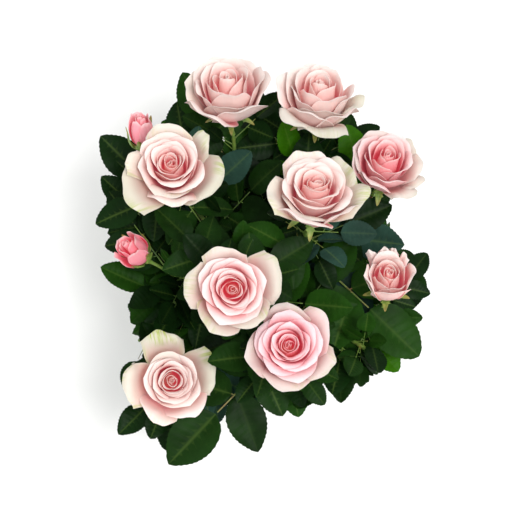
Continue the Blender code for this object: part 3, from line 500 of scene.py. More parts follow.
foot = COMPOST_TOP + COMPOST_DOME - CROWN_FOOT_DEPTH
profile = [(0.0, CROWN_CENTRE.z + CROWN_DOME_RADIUS)]
profile += [(CROWN_DOME_RADIUS * math.sin(a), CROWN_CENTRE.z + CROWN_DOME_RADIUS * math.cos(a))
            for a in map(math.radians, range(8, 91, 9))]
profile += [(CROWN_WAIST_RADIUS, CROWN_CENTRE.z - CROWN_WAIST_DROP),
            (CROWN_NECK_RADIUS, foot + CROWN_NECK_HEIGHT), (CROWN_FOOT_RADIUS, foot), (0.0, foot)]
root_crown = turned("root_crown_wood", profile, CROWN_STEPS)
for point in root_crown.data.vertices:
    out = Vector((point.co.x, point.co.y, (point.co.z - CROWN_CENTRE.z) * 0.4))
    ridge = noise.noise(Vector((out.x * 400, out.y * 400, out.z * 160)))
    knob = noise.noise(point.co * 130) + 0.5 * noise.noise(point.co * 320)
    if out.length > 0.0001:
        point.co += out.normalized() * (CROWN_RIDGE * ridge + CROWN_KNOB * knob)
root_crown.data.shade_smooth()

# Rose bark: corky brown at the foot, turning green where the wood is younger, with pale pores.
bark, tree, shader = material("rose_bark")
place = node(tree, "ShaderNodeTexCoord").outputs["Object"]
height = node(tree, "ShaderNodeSeparateXYZ", {"Vector": place})
mottle = node(tree, "ShaderNodeTexNoise", {"Vector": place, "Scale": 1000 / BARK_MOTTLE_MM, "Detail": 5.0,
                                           "Roughness": 0.65})
pores = node(tree, "ShaderNodeTexVoronoi", {"Vector": place, "Scale": 1000 / PORE_MM})
age = node(tree, "ShaderNodeMapRange", {"Value": height.outputs["Z"], "From Min": BARK_AGES[0],
                                        "From Max": BARK_AGES[1]})
mixed = node(tree, "ShaderNodeMath", {0: mottle, 1: 0.5}, operation="SUBTRACT")
aged = node(tree, "ShaderNodeMath", {0: age, 1: mixed}, operation="ADD")
tone = node(tree, "ShaderNodeValToRGB", {"Fac": aged}, [(0.15, BARK_FOOT), (0.85, BARK_GREEN)])
pore = node(tree, "ShaderNodeMapRange", {"Value": pores, "From Min": 0.16,
                                         "From Max": 0.05, "To Max": 0.7})
spotted = node(tree, "ShaderNodeMix", {0: pore, 6: tone, 7: srgb(BARK_PALE)}, data_type="RGBA")
relief = node(tree, "ShaderNodeBump", {"Height": mottle, "Strength": 0.6, "Distance": 0.0005})
plug(tree, shader, {"Base Color": spotted.outputs[2], "Normal": relief, "Roughness": 0.62})
wood.piece("cane_wood", [bark], "bark", [cane.name for cane in canes])
root_crown.data.materials.append(bark)
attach(root_crown, "root")
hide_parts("root_crown")

# ======== How the shoots and leaves grow ========
# Each shoot starts on a cane's knuckle and ends under a bloom or in a tuft of leaves. Its leaves
# stand by the golden turn, three or five leaflets on a stalk, and each keeps to free space.
STEM_FOOT_RADIUS, STEM_TIP_RADIUS, STEM_RINGS, STEM_CURVE = 0.0019, 0.0013, 7, 0.38
STALK_RADIUS = 0.0013
STALK_LENGTH = 0.020        # the bare stalk under a bloom's calyx
HIP_HEIGHT = 0.006
LEAF_START = 0.05           # the first leaf, as a share of the stem's length
LEAF_SPACING = 0.0168       # along the stem
MOST_LEAVES = 12            # on one shoot
OUTWARD_PULL = 8.0          # how much more a leaf points outwards, for each metre from the pot's axis
LEAF_TURN = 137.5
PETIOLE = 0.021             # from the stem to the lowest pair of leaflets
PAIR_SPACING = 0.022
PAIR_OFFSET = 0.0013        # the two leaflets of a pair sit this far before and behind their place
TERMINAL_STEP = 0.016       # from the last pair to the end leaflet
LEAFLET_LENGTH = 0.043
LEAFLET_WIDTH = 0.68        # this and the next three are shares of its length
LEAFLET_WIDEST = 0.42
LEAFLET_SAG = 0.04          # of the middle, below the line that it leaves the stalk on
LEAFLET_DROP = 0.10         # of the tip
LEAFLET_THICKNESS = 0.0014
LEAFLET_FOLD = 14           # each half rises from the midrib by this angle
PAIR_ANGLE = 64             # of the first pair to the stalk; each pair behind it opens 4 degrees more
PAIR_SIZES = (0.88, 0.74)   # of the end leaflet's length
RACHIS_RADIUS = 0.0010
RACHIS_ROOM = RACHIS_RADIUS * 1.2 + GAP
LEAF_SIZES = (0.66, 1.08)
LEAF_TRIES = 20
LEAF_SEED, SET_LEAF_SEED = 100, 500
LEAF_ROOM = 0.0007          # kept free round each leaflet
LEAST_FACING = 0.30         # a leaf turns its face up to the light at least this much
TOP_SHARE = 0.97            # no leaf leaves its stem nearer to the tip
SET_STEPS = 24              # places along a stem that a leaf with a set place may leave it at
SET_LEAF_SIZES = (0.62, 1.35)       # of a whole leaf, as shares of a full one, as in all sizes here
SET_CHOICES, SET_TRIES = 40, 4
CROWN_SLANT = 0.27          # the crown's outline leans back by this much for each metre of height
CROWN_LEVEL = 0.230         # the height at which the outline has its own place
LOWEST_TIP = 0.082
RIM_ROOM = 0.001            # between a leaf and the pot's rim
RIM_SIDES = 32
BAR_SIDES = 5               # of the space kept free round a thin limb
BLOOM_SIDES = 10            # and round a flower

# name, cane, heart of the flower (x, y, z), azimuth and angle of its lean, width, height, opening
BLOOMS = (
    ("bloom_back_left", 1, (-0.028, 0.133, 0.270), 100, 22, 0.063, 0.044, 0.55),
    ("bloom_back_right", 1, (0.047, 0.124, 0.276), 85, 20, 0.064, 0.046, 0.60),
    ("bloom_right_back", 0, (0.103, 0.070, 0.268), 46, 15, 0.058, 0.042, 0.60),
    ("bloom_left_back", 2, (-0.074, 0.060, 0.288), 250, 5, 0.080, 0.044, 0.90),
    ("bloom_centre_right", 0, (0.042, 0.032, 0.303), 68, 12, 0.080, 0.046, 0.90),
    ("bloom_right", 0, (0.104, -0.020, 0.254), 81, 24, 0.037, 0.036, 0.20),
    ("bloom_centre", 3, (-0.023, -0.045, 0.316), 270, 15, 0.075, 0.041, 1.00),
    ("bloom_front", 4, (0.021, -0.087, 0.298), 270, 4, 0.073, 0.042, 1.00),
    ("bloom_front_left", 3, (-0.074, -0.104, 0.247), 302, 13, 0.077, 0.046, 0.75),
    ("bud_back", 2, (-0.102, 0.110, 0.252), 97, 42, 0.021, 0.033, 0.00),
    ("bud_left", 2, (-0.110, 0.006, 0.247), 161, 46, 0.022, 0.031, 0.00),
)
# cane and tip (x, y, z) of each shoot that carries leaves only
LEAFY_SHOOTS = (
    (0, (0.112, 0.022, 0.205)),
    (1, (0.075, 0.105, 0.215)),
    (1, (-0.030, 0.125, 0.200)),
    (2, (-0.112, 0.055, 0.205)),
    (3, (-0.105, -0.060, 0.195)),
    (4, (0.010, -0.120, 0.195)),
    (4, (0.088, -0.072, 0.215)),
)
# leaves with a set place, most of them on the crown's outline:
# azimuth, reach and height of the tip, heading, leaflet length
SET_LEAVES = (
    (112, 0.180, 0.235, 114, 0.044),
    (117, 0.162, 0.225, 84, 0.040),
    (140, 0.181, 0.215, 143, 0.047),
    (149, 0.161, 0.205, 174, 0.034),
    (153, 0.147, 0.215, 152, 0.036),
    (165, 0.146, 0.220, 182, 0.040),
    (180, 0.134, 0.215, 156, 0.042),
    (206, 0.110, 0.205, 183, 0.041),
    (205, 0.121, 0.195, 130, 0.038),
    (229, 0.182, 0.190, 218, 0.035),
    (245, 0.182, 0.205, 239, 0.055),
    (263, 0.109, 0.190, 350, 0.036),
    (284, 0.126, 0.190, 279, 0.038),
    (301, 0.130, 0.200, 273, 0.047),
    (324, 0.142, 0.190, 332, 0.038),
    (330, 0.151, 0.215, 315, 0.051),
    (5, 0.141, 0.210, 54, 0.039),
    (7, 0.117, 0.235, 343, 0.048),
    (51, 0.158, 0.225, 17, 0.040),
)


def fan(axis, foot, targets):
    """Starting directions of the shoots on a knuckle, spread evenly round the cane's axis."""
    across = square_to(axis)
    side = axis.cross(across)

    def turn_of(target):
        line = target - foot
        return math.atan2(line.dot(side), line.dot(across))

    order = sorted(range(len(targets)), key=lambda i: turn_of(targets[i]))
    count = len(targets)
    slots = [2 * math.pi * rank / count for rank in range(count)]
    off = [turn_of(targets[i]) - slot for i, slot in zip(order, slots)]
    start = math.atan2(sum(map(math.sin, off)), sum(map(math.cos, off)))
    spread = math.radians(KNUCKLE_SPREAD)
    directions = [None] * count
    for rank, i in enumerate(order):
        turn = slots[rank] + start
        lean = across * math.cos(turn) + side * math.sin(turn)
        directions[i] = (axis * math.cos(spread) + lean * math.sin(spread)).normalized()
    return directions


def smooth_weights(t):
    """How much each of a smooth curve's four control points counts at a share of it."""
    return (1 - t) ** 3, 3 * t * (1 - t) ** 2, 3 * t * t * (1 - t), t ** 3


class Stem:
    """The stem of one shoot: a smooth curve from its knuckle to its tip, with its own leaves."""

    def __init__(self, name, knuckle, start, tip, end):
        self.name = name
        foot = knuckle + start * (KNUCKLE_RADIUS + GAP)
        reach = (tip - foot).length * STEM_CURVE
        controls = (foot, foot + start * reach, tip - end * reach, tip)
        self.points = []
        for ring in range(STEM_RINGS + 1):
            weights = smooth_weights(ring / STEM_RINGS)
            self.points.append(sum((c * w for c, w in zip(controls, weights)), Vector((0, 0, 0))))
        self.lengths = [0.0]
        for a, b in zip(self.points, self.points[1:]):
            self.lengths.append(self.lengths[-1] + (b - a).length)
        self.length = self.lengths[-1]
        self.turn = random.Random(name).uniform(0, 360)
        self.leaves = []

    def at(self, share):
        """Place and direction at a share of the stem's length."""
        want = share * self.length
        i = next((i for i in range(STEM_RINGS) if want <= self.lengths[i + 1]), STEM_RINGS - 1)
        a, b = self.points[i], self.points[i + 1]
        part = (want - self.lengths[i]) / (self.lengths[i + 1] - self.lengths[i])
        return a.lerp(b, part), (b - a).normalized()


def leaflet_points(base, along, normal, length, grow=0.0):
    """A folded blade of eight faces: root, left, tip, right, crest and keel; grow thickens it.

    The blade starts clear of its stalk, and only its root reaches back to the stalk's axis, base.
    """
    root = base if grow == 0 else base + along * (RACHIS_RADIUS * 2 - grow)
    base = base + along * RACHIS_RADIUS * 2
    side = along.cross(normal).normalized()
    fold = math.radians(LEAFLET_FOLD)
    half = length * LEAFLET_WIDTH / 2 + grow
    middle = base + along * length * LEAFLET_WIDEST - normal * (LEAFLET_SAG * length)
    left = middle + side * (half * math.cos(fold)) + normal * (half * math.sin(fold))
    right = middle - side * (half * math.cos(fold)) + normal * (half * math.sin(fold))
    tip = base + along * (length + grow) - normal * (LEAFLET_DROP * length)
    crest = middle + normal * (grow * 2)
    keel = middle - normal * (LEAFLET_THICKNESS + grow)
    return [root, left, tip, right, crest, keel]


def blade_shell(base, along, normal, length, room=LEAF_ROOM):
    """The space that an ovate blade takes: six outline points, a crest and a keel."""
    root, left, tip, right, crest, keel = leaflet_points(base, along, normal, length, room)
    high_left = left.lerp(tip, 0.5) + (left - right) * 0.10
    high_right = right.lerp(tip, 0.5) + (right - left) * 0.10
    points = [root, left, high_left, tip, high_right, right, crest, keel]
    return points, SHELL_FACES


SHELL_FACES = [(k, 6, (k + 1) % 6) for k in range(6)] + [((k + 1) % 6, 7, k) for k in range(6)]


def leaf_layout(root, direction, normal, size, pairs, twist):
    """The leaflets of one leaf, the end one first: base, along, normal and length of each."""
    side = direction.cross(normal).normalized()
    rachis = (PETIOLE + PAIR_SPACING * (pairs - 1) + TERMINAL_STEP) * size
    leaflets = [(root + direction * rachis, direction, normal, LEAFLET_LENGTH * size)]
    for pair in range(pairs):
        reach = rachis - TERMINAL_STEP * size - PAIR_SPACING * size * pair
        length = LEAFLET_LENGTH * size * PAIR_SIZES[pair]
        for hand in (1, -1):
            place = root + direction * (reach + PAIR_OFFSET * hand)
            angle = math.radians(PAIR_ANGLE + 4 * pair)
            along = (direction * math.cos(angle) + side * hand * math.sin(angle)
                     + normal * (twist * hand - 0.08)).normalized()
            face = square_to(along, normal + side * hand * 0.15)
            leaflets.append((place, along, face, length))
    return rachis, leaflets


def ball_round(points):
    """Middle and radius of a ball round some points."""
    middle = sum(points, Vector((0, 0, 0))) / len(points)
    return middle, max((p - middle).length for p in points)


class Crown:
    """The space already taken, as a list of small surfaces with the balls round them."""

    def __init__(self):
        self.taken = []

    def add(self, points, faces, owner=None):
        self.taken.append((*ball_round(points), BVHTree.FromPolygons(points, faces), owner))

    def free(self, points, faces, ignore=None):
        """True where nothing is in the way, apart from what belongs to the owner to ignore."""
        middle, radius = ball_round(points)
        tree = None
        for place, size, other, owner in self.taken:
            if owner is not None and owner == ignore:
                continue
            if (place - middle).length > size + radius:
                continue
            if tree is None:
                tree = BVHTree.FromPolygons(points, faces)
            if tree.overlap(other):
                return False
        return True


def ring_faces(rings, sides):
    """The faces between rings of points that follow one another."""
    return [(ring * sides + k, ring * sides + (k + 1) % sides,
             (ring + 1) * sides + (k + 1) % sides, (ring + 1) * sides + k)
            for ring in range(rings - 1) for k in range(sides)]


def bar(start, end, radius):
    """A closed bar of BAR_SIDES sides between two points: the space that a thin limb takes."""
    along = (end - start).normalized()
    side = along.orthogonal().normalized()
    other = along.cross(side)
    turns = [math.tau * k / BAR_SIDES for k in range(BAR_SIDES)]
    ring = [(side * math.cos(turn) + other * math.sin(turn)) * radius for turn in turns]
    points = [start + r for r in ring] + [end + r for r in ring]
    caps = [tuple(reversed(range(BAR_SIDES))), tuple(range(BAR_SIDES, 2 * BAR_SIDES))]
    return points, ring_faces(2, BAR_SIDES) + caps


def rim_shell():
    """The outer side and the top of the pot's rim, for the leaves to stay clear of."""
    out = [heading(360 * k / RIM_SIDES, 0) * (RIM_RADIUS + RIM_ROOM) for k in range(RIM_SIDES)]
    rings = [p + UP * (POT_HEIGHT - LIP_HEIGHT) for p in out]
    rings += [p + UP * (POT_HEIGHT + RIM_ROOM) for p in out]
    rings += [p * 0.9 + UP * (POT_HEIGHT + RIM_ROOM) for p in out]
    return rings, ring_faces(3, RIM_SIDES)


def slid_mark(azimuth, reach, height):
    """Azimuth and reach of a tip on the outline, with the crown's slant taken out of them."""
    x = reach * math.cos(math.radians(azimuth))
    y = reach * math.sin(math.radians(azimuth)) + (height - CROWN_LEVEL) * CROWN_SLANT
    return math.degrees(math.atan2(y, x)) % 360, math.hypot(x, y)


OUTLINE = sorted(slid_mark(*row[:3]) for row in SET_LEAVES)
OUTLINE = ([(OUTLINE[-1][0] - 360, OUTLINE[-1][1])] + OUTLINE
           + [(OUTLINE[0][0] + 360, OUTLINE[0][1])])


def outline_reach(azimuth):
    """How far the outline reaches at an azimuth, between the tips that it runs through."""
    for (a, reach), (b, other) in zip(OUTLINE, OUTLINE[1:]):
        if a <= azimuth <= b:
            return reach + (other - reach) * (azimuth - a) / max(b - a, 0.001)


def within_outline(point):
    """True where a point lies inside the outline that the outline leaves draw."""
    slid = Vector((point.x, point.y + (point.z - CROWN_LEVEL) * CROWN_SLANT))
    azimuth = math.degrees(math.atan2(slid.y, slid.x)) % 360
    return slid.length < outline_reach(azimuth)


def try_leaf(crown, stem, root, direction, normal, size, pairs, twist, check_outline):
    """A leaf's leaflets that find free space, with its stalk's end and its normal.

    It is None where the stalk or the end leaflet finds none.
    """
    rachis, leaflets = leaf_layout(root, direction, normal, size, pairs, twist)
    end = root + direction * rachis
    if not crown.free(*bar(root, end + direction * 0.003, RACHIS_ROOM), stem.name):
        return None
    kept = []
    mine = Crown()
    for number, (base, along, face, length) in enumerate(leaflets):
        shell, shell_faces = blade_shell(base, along, face, length)
        tip = shell[3]
        fits = tip.z > LOWEST_TIP and (not check_outline or within_outline(tip))
        if fits and crown.free(shell, shell_faces) and mine.free(shell, shell_faces):
            kept.append((base, along, face, length))
            mine.add(shell, shell_faces)
        elif number == 0:
            return None
    return kept, end, normal


def settle_leaf(crown, stem, root, found):
    """Give a leaf that was found to its stem, and take its space."""
    kept, end, normal = found
    stem.leaves.append((root, end, normal, kept))
    crown.add(*bar(root, end, RACHIS_ROOM), owner=stem.name)
    for leaflet in kept:
        crown.add(*blade_shell(*leaflet))


def settle_fullest(crown, stem, tries):
    """Of several tries, keep the leaf that faces up and has the most blade."""
    good = [(root, found) for root, found in tries
            if found and len(found[0]) > 1 and found[2].z > LEAST_FACING]
    if good:
        settle_leaf(crown, stem, *max(good, key=lambda row: sum(length for *_, length in row[1][0])))


def round_stem(root, along, angle):
    """Square to a stem at an angle round it, the same laid level, and away from the pot's axis."""
    side = square_to(along)
    out = side * math.cos(angle) + along.cross(side) * math.sin(angle)
    level = Vector((out.x, out.y, 0)).normalized()
    return out, level, Vector((root.x, root.y, 0)) * OUTWARD_PULL


def set_choices(stems, tip, wish, length):
    """The starts on all stems that suit a leaf with a set tip, the cheapest first."""
    choices = []
    for stem in stems:
        for step in range(2, SET_STEPS):
            root, _ = stem.at(step / SET_STEPS)
            line = tip - root
            turn = line.angle(wish)
            for pairs in (2, 1):
                full = PETIOLE + PAIR_SPACING * (pairs - 1) + TERMINAL_STEP + LEAFLET_LENGTH
                size = line.length / full
                if SET_LEAF_SIZES[0] < size < SET_LEAF_SIZES[1]:
                    cost = abs(size * LEAFLET_LENGTH / length - 1) + turn * 0.5
                    choices.append((cost, stem, root, pairs, size))
    return sorted(choices, key=lambda choice: choice[0])[:SET_CHOICES]


def grow_set_leaves(crown, stems):
    """Place the leaves that reach the crown's outline, each from the stem that suits it best."""
    for number, (azimuth, reach, height, course, length) in enumerate(SET_LEAVES):
        tip = heading(azimuth, 0) * reach + UP * height
        rng = random.Random(SET_LEAF_SEED + number)
        best = None
        for cost, stem, root, pairs, size in set_choices(stems, tip, heading(course, 0), length):
            direction = (tip - root).normalized()
            for attempt in range(SET_TRIES):
                lean = UP + heading(rng.uniform(0, 360), 0) * 0.14 * attempt
                found = try_leaf(crown, stem, root, direction, square_to(direction, lean),
                                 size, pairs, rng.uniform(-0.15, 0.15), False)
                if found:
                    worth = len(found[0]) - cost * 4
                    if best is None or worth > best[0]:
                        best = (worth, stem, root, found)
        if best:
            settle_leaf(crown, *best[1:])


def grow_leaf(crown, stem, number, rng):
    """Grow the stem's next leaf down from its tip, by the golden turn."""
    share = TOP_SHARE - (number + 0.5) * LEAF_SPACING / stem.length
    if share < LEAF_START:
        return
    root, along = stem.at(share)
    tries = []
    for _ in range(LEAF_TRIES):
        angle = math.radians(stem.turn + LEAF_TURN * number + rng.uniform(-50, 50))
        out, level, outward = round_stem(root, along, angle)
        # the lower a leaf stands, the more it hangs
        rise = UP * rng.uniform(-0.60 + 0.25 * share, 0.50)
        direction = (out * 0.5 + level * 0.6 + along * 0.25 + outward + rise).normalized()
        wish = UP + direction * 0.2 + heading(rng.uniform(0, 360), 0) * 0.35
        size = rng.uniform(*LEAF_SIZES) * (1.0 - 0.45 * max(share - 0.6, 0))
        pairs = 1 if share > 0.85 or rng.random() < 0.2 else 2
        found = try_leaf(crown, stem, root, direction, square_to(direction, wish),
                         size, pairs, rng.uniform(-0.2, 0.2), True)
        tries.append((root, found))
    settle_fullest(crown, stem, tries)


class Flower:
    """The place, axis and size of one flower. Its heart is the middle of the flower, on its axis."""

    def __init__(self, name, cane, heart, azimuth, lean, width, height, opening):
        self.name = name
        self.cane = cane
        self.axis = heading(azimuth, 90 - lean)
        self.width = width
        self.height = height
        self.opening = opening
        self.base = Vector(heart) - self.axis * height * 0.5
        self.foot = self.base - self.axis * (STALK_LENGTH + HIP_HEIGHT)
        self.side = square_to(self.axis, Vector((0, 1, 0)))
        self.other = self.axis.cross(self.side)

    def place(self, radius, height, azimuth):
        """A point of the flower, by its radius and height on the axis and its angle round it."""
        out = self.side * math.cos(azimuth) + self.other * math.sin(azimuth)
        return self.base + self.axis * height + out * radius

    def envelope(self, share=1.0):
        """The turned space that the flower and its sepals take, or a share of its width."""
        wide, high = self.width, self.height
        if self.opening == 0:
            rings = ((0.004, -0.008), (wide * 0.62, high * 0.15), (wide * 0.62, high * 0.80),
                     (0.004, high * 1.12))
        else:
            rings = ((0.004, -0.015), (0.021, -0.013), (0.025, 0.0), (wide * 0.46, high * 0.22),
                     (wide * 0.55, high * 0.45), (wide * 0.48, high * 0.95), (wide * 0.20, high * 1.10))
        points = [self.place(radius * share, height, math.tau * k / BLOOM_SIDES)
                  for radius, height in rings for k in range(BLOOM_SIDES)]
        return points, ring_faces(len(rings), BLOOM_SIDES)


flowers = [Flower(*row) for row in BLOOMS]
stems = []
for number, cane in enumerate(canes):
    ends = [(b.foot - b.axis * GAP, b.axis) for b in flowers if b.cane == number]
    for home, tip in LEAFY_SHOOTS:
        if home == number:
            level = Vector((tip[0], tip[1], 0)).normalized()
            ends.append((Vector(tip), (level * 0.8 + UP * 0.6).normalized()))
    starts = fan(cane.axis, cane.knuckle, [tip for tip, _ in ends])
    for start, (tip, end) in zip(starts, ends):
        stems.append(Stem("shoot_%02d" % (len(stems) + 1), cane.knuckle, start, tip, end))

crown = Crown()
for flower in flowers:
    crown.add(*flower.envelope())
    crown.add(*bar(flower.foot, flower.base, STALK_RADIUS * 1.25 + GAP))
for cane in canes:
    crown.add(*bar(cane.foot, cane.points[CANE_STEPS], CANE_RADIUS * 1.4 + GAP))
    crown.add(*bar(cane.points[CANE_STEPS], cane.knuckle, KNUCKLE_RADIUS * 1.3 + GAP))
crown.add(*rim_shell())
for stem in stems:
    for a, b in zip(stem.points, stem.points[1:]):
        crown.add(*bar(a, b, STEM_FOOT_RADIUS * 1.25 + GAP), owner=stem.name)
grow_set_leaves(crown, stems)
draws = [random.Random(LEAF_SEED + number) for number in range(len(stems))]
for number in range(MOST_LEAVES):
    for stem, rng in zip(stems, draws):
        grow_leaf(crown, stem, number, rng)

# ======== The finer twigs ========
# Between the main leaves each shoot carries short side twigs of small leaves. They follow the same
# rule in the space that is still free, and the last ones close the gaps over the crown's core.
TWIG_TRIES = 7
TWIGS_PER_SHOOT = 16
TWIG_SIZES = (0.42, 0.78)
TWIG_SHARES = (0.12, 0.97)  # where along a stem a twig may leave it
TWIG_PAIRS = (1, 1, 2)      # of leaflets, dealt at random
TWIG_SEED, FILL_SEED = 300, 900
FILL_CELL = 0.0020          # the crown's core is looked through on a grid this fine
FILL_CELLS = 75             # and this many cells wide to each side of the pot's axis
FILL_REACH = 0.78           # as a share of the crown's outline
FILL_ROOM = -0.0008         # a leaf hides a little less than its outline
FILL_BLOOM = 0.75           # and a flower hides this share of the space that it takes
FILL_TRIES = 260
FILL_DEPTHS = (-0.11, 0.02)     # below and above the crown's level
FILL_SHARES = (0.1, 0.95)   # where along a stem such a leaf may start
FILL_MIDDLE = 0.45          # this far along its end leaflet lies over the gap
FILL_SIZES = (0.28, 0.95)
LEANING_UP = Vector((0, -CROWN_SLANT, 1)).normalized()
ABOVE_THE_CROWN = 0.2


def grow_twig_leaf(crown, stem, rng):
    """A small leaf on the stem, where a place with free space is found."""
    tries = []
    for _ in range(TWIG_TRIES):
        root, along = stem.at(rng.uniform(*TWIG_SHARES))
        out, level, outward = round_stem(root, along, rng.uniform(0, math.tau))
        direction = out * 0.6 + level * 0.4 + along * 0.35 + outward * 0.5 + UP * rng.uniform(-0.3, 0.9)
        direction = direction.normalized()
        wish = UP + direction * 0.2 + heading(rng.uniform(0, 360), 0) * 0.45
        found = try_leaf(crown, stem, root, direction, square_to(direction, wish),
                         rng.uniform(*TWIG_SIZES), rng.choice(TWIG_PAIRS), rng.uniform(-0.2, 0.2), True)
        tries.append((root, found))
    settle_fullest(crown, stem, tries)


def core_tree():
    """The leaves and the flowers as one surface, to look through the crown with."""
    shapes = [flower.envelope(FILL_BLOOM) for flower in flowers]
    for stem in stems:
        for root, end, normal, kept in stem.leaves:
            shapes += [blade_shell(*leaflet, FILL_ROOM) for leaflet in kept]
    points, faces = [], []
    for shape, its_faces in shapes:
        faces += [tuple(len(points) + corner for corner in face) for face in its_faces]
        points += shape
    return BVHTree.FromPolygons(points, faces)


def fill_gap(crown, middle, rng):
    """Grow a small leaf over a gap that lets the floor show, from any stem that reaches it."""
    for _ in range(FILL_TRIES):
        place = middle + LEANING_UP * rng.uniform(*FILL_DEPTHS)
        stem = rng.choice(stems)
        root, _ = stem.at(rng.uniform(*FILL_SHARES))
        line = place - root
        size = line.length / (PETIOLE + TERMINAL_STEP + LEAFLET_LENGTH * FILL_MIDDLE)
        normal = square_to(line.normalized(), UP)
        if FILL_SIZES[0] < size < FILL_SIZES[1] and normal.z > LEAST_FACING:
            found = try_leaf(crown, stem, root, line.normalized(), normal, size, 1, 0.0, False)
            if found:
                settle_leaf(crown, stem, root, found)
                return True
    return False


draws = [random.Random(TWIG_SEED + number) for number in range(len(stems))]
for number in range(TWIGS_PER_SHOOT):
    for stem, rng in zip(stems, draws):
        grow_twig_leaf(crown, stem, rng)

rng = random.Random(FILL_SEED)
tree = core_tree()
for row in range(-FILL_CELLS, FILL_CELLS + 1):
    for column in range(-FILL_CELLS, FILL_CELLS + 1):
        x, y = column * FILL_CELL, row * FILL_CELL
        if within_outline(Vector((x / FILL_REACH, y / FILL_REACH, CROWN_LEVEL))):
            cell = Vector((x, y, CROWN_LEVEL))
            seen = tree.ray_cast(cell + LEANING_UP * ABOVE_THE_CROWN, -LEANING_UP)[0]
            if seen is None and fill_gap(crown, cell, rng):
                tree = core_tree()

# ======== The shoots ========
# Green stems of this year's growth, flushed with red on the sunny side. Each leaf stands on a
# slender stalk that clasps the stem, and hooked prickles sit along the older part.
STEM_MARKS, STEM_SIDES = 44, 10
STEM_ROOT_DEPTH = 0.0015        # in its knuckle
STEM_PASSES = 3                 # that smooth its course
NODE_SWELL, NODE_REACH = 0.0005, 0.0022
PETIOLE_RADIUS, PETIOLE_TIP_RADIUS = 0.00085, 0.00045
PETIOLE_MARKS, PETIOLE_SIDES = 9, 6
PETIOLE_SAG = 0.0005
PETIOLE_FLARE, PETIOLE_FADE = 0.9, 0.06
STALKLET_RADIUS, STALKLET_SIDES = 0.0005, 5     # of a leaflet at the side
STALKLET_REACH = (-0.2, 1.3)
PRICKLE_LENGTH, PRICKLE_RADIUS, PRICKLE_SPACING = 0.0034, 0.0010, 0.0105
PRICKLE_TIP, PRICKLE_SIDES, PRICKLE_SIZES = 0.00005, 6, (0.75, 1.15)
PRICKLES_MISSING = 0.45         # the share of the places that stay bare
PRICKLE_HOOK = 0.14             # how far they lean down the stem
PRICKLED_MARKS = (22, 30)       # of so many marks along a stem the lower ones have prickles
FLUSH_MM, HORN_MOTTLE_MM = 22.2, 11.1
STEM_GREEN, STEM_LIGHT, STEM_RED, PRICKLE_RED = "#3E5A24", "#6E8B3A", "#7A4630", "#8A4A38"
SHOOT_NODES = [stem.name for stem in stems]


def bent(stem, count):
    """The stem's course as a smooth line with many points, from inside its knuckle to its tip."""
    knots = rows_of(stem.points)
    first = knots[0] - unit(knots[1] - knots[0]) * STEM_ROOT_DEPTH
    knots = np.concatenate(([first], knots))
    where = np.concatenate(([-STEM_ROOT_DEPTH], stem.lengths))
    marks = np.linspace(-STEM_ROOT_DEPTH, stem.length, count)
    line = course_at(marks, where, knots)
    for _ in range(STEM_PASSES):
        line[1:-1] = (line[:-2] + 2 * line[1:-1] + line[2:]) / 4
    return line, marks


green = Joined()
for stem in stems:
    line, marks = bent(stem, STEM_MARKS)
    thick = np.interp(marks, (0, stem.length), (STEM_FOOT_RADIUS, STEM_TIP_RADIUS))
    for root, end, normal, kept in stem.leaves:
        off = np.linalg.norm(line - np.array(root), axis=1)
        thick = thick + NODE_SWELL * np.exp(-(off / NODE_REACH) ** 2)
    green.add(*sweep(line, thick, STEM_SIDES))
    for root, end, normal, kept in stem.leaves:
        size = max(length for _, _, _, length in kept) / LEAFLET_LENGTH
        share = np.linspace(0, 1, PETIOLE_MARKS)
        rachis = (np.array(root) + share[:, None] * np.array(end - root)
                  - np.array(normal) * (np.sin(math.pi * share) * PETIOLE_SAG * size)[:, None])
        flare = 1 + PETIOLE_FLARE * np.exp(-share / PETIOLE_FADE)
        thin = np.interp(share, (0, 1), (PETIOLE_RADIUS, PETIOLE_TIP_RADIUS)) * flare * max(size, 0.6)
        green.add(*sweep(rachis, thin, PETIOLE_SIDES))
        for base, along, face, length in kept[1:]:
            reach = np.linspace(*STALKLET_REACH, 4)[:, None]
            stalklet = np.array(base) + reach * np.array(along) * RACHIS_RADIUS * 2
            green.add(*sweep(stalklet, np.full(4, STALKLET_RADIUS * max(size, 0.7)), STALKLET_SIDES))

# Rose stem: a smooth waxy green skin, with a red flush on the sides that the light reaches.
skin, tree, shader = material("rose_stem_skin")
place = node(tree, "ShaderNodeTexCoord").outputs["Object"]
flush = node(tree, "ShaderNodeTexNoise", {"Vector": place, "Scale": 1000 / FLUSH_MM, "Detail": 3.0})
tone = node(tree, "ShaderNodeValToRGB", {"Fac": flush},
            [(0.30, STEM_GREEN), (0.52, STEM_LIGHT), (0.72, STEM_RED)])
plug(tree, shader, {"Base Color": tone, "Roughness": 0.42})
green.piece("shoot_stems", [skin], "leaf", SHOOT_NODES)


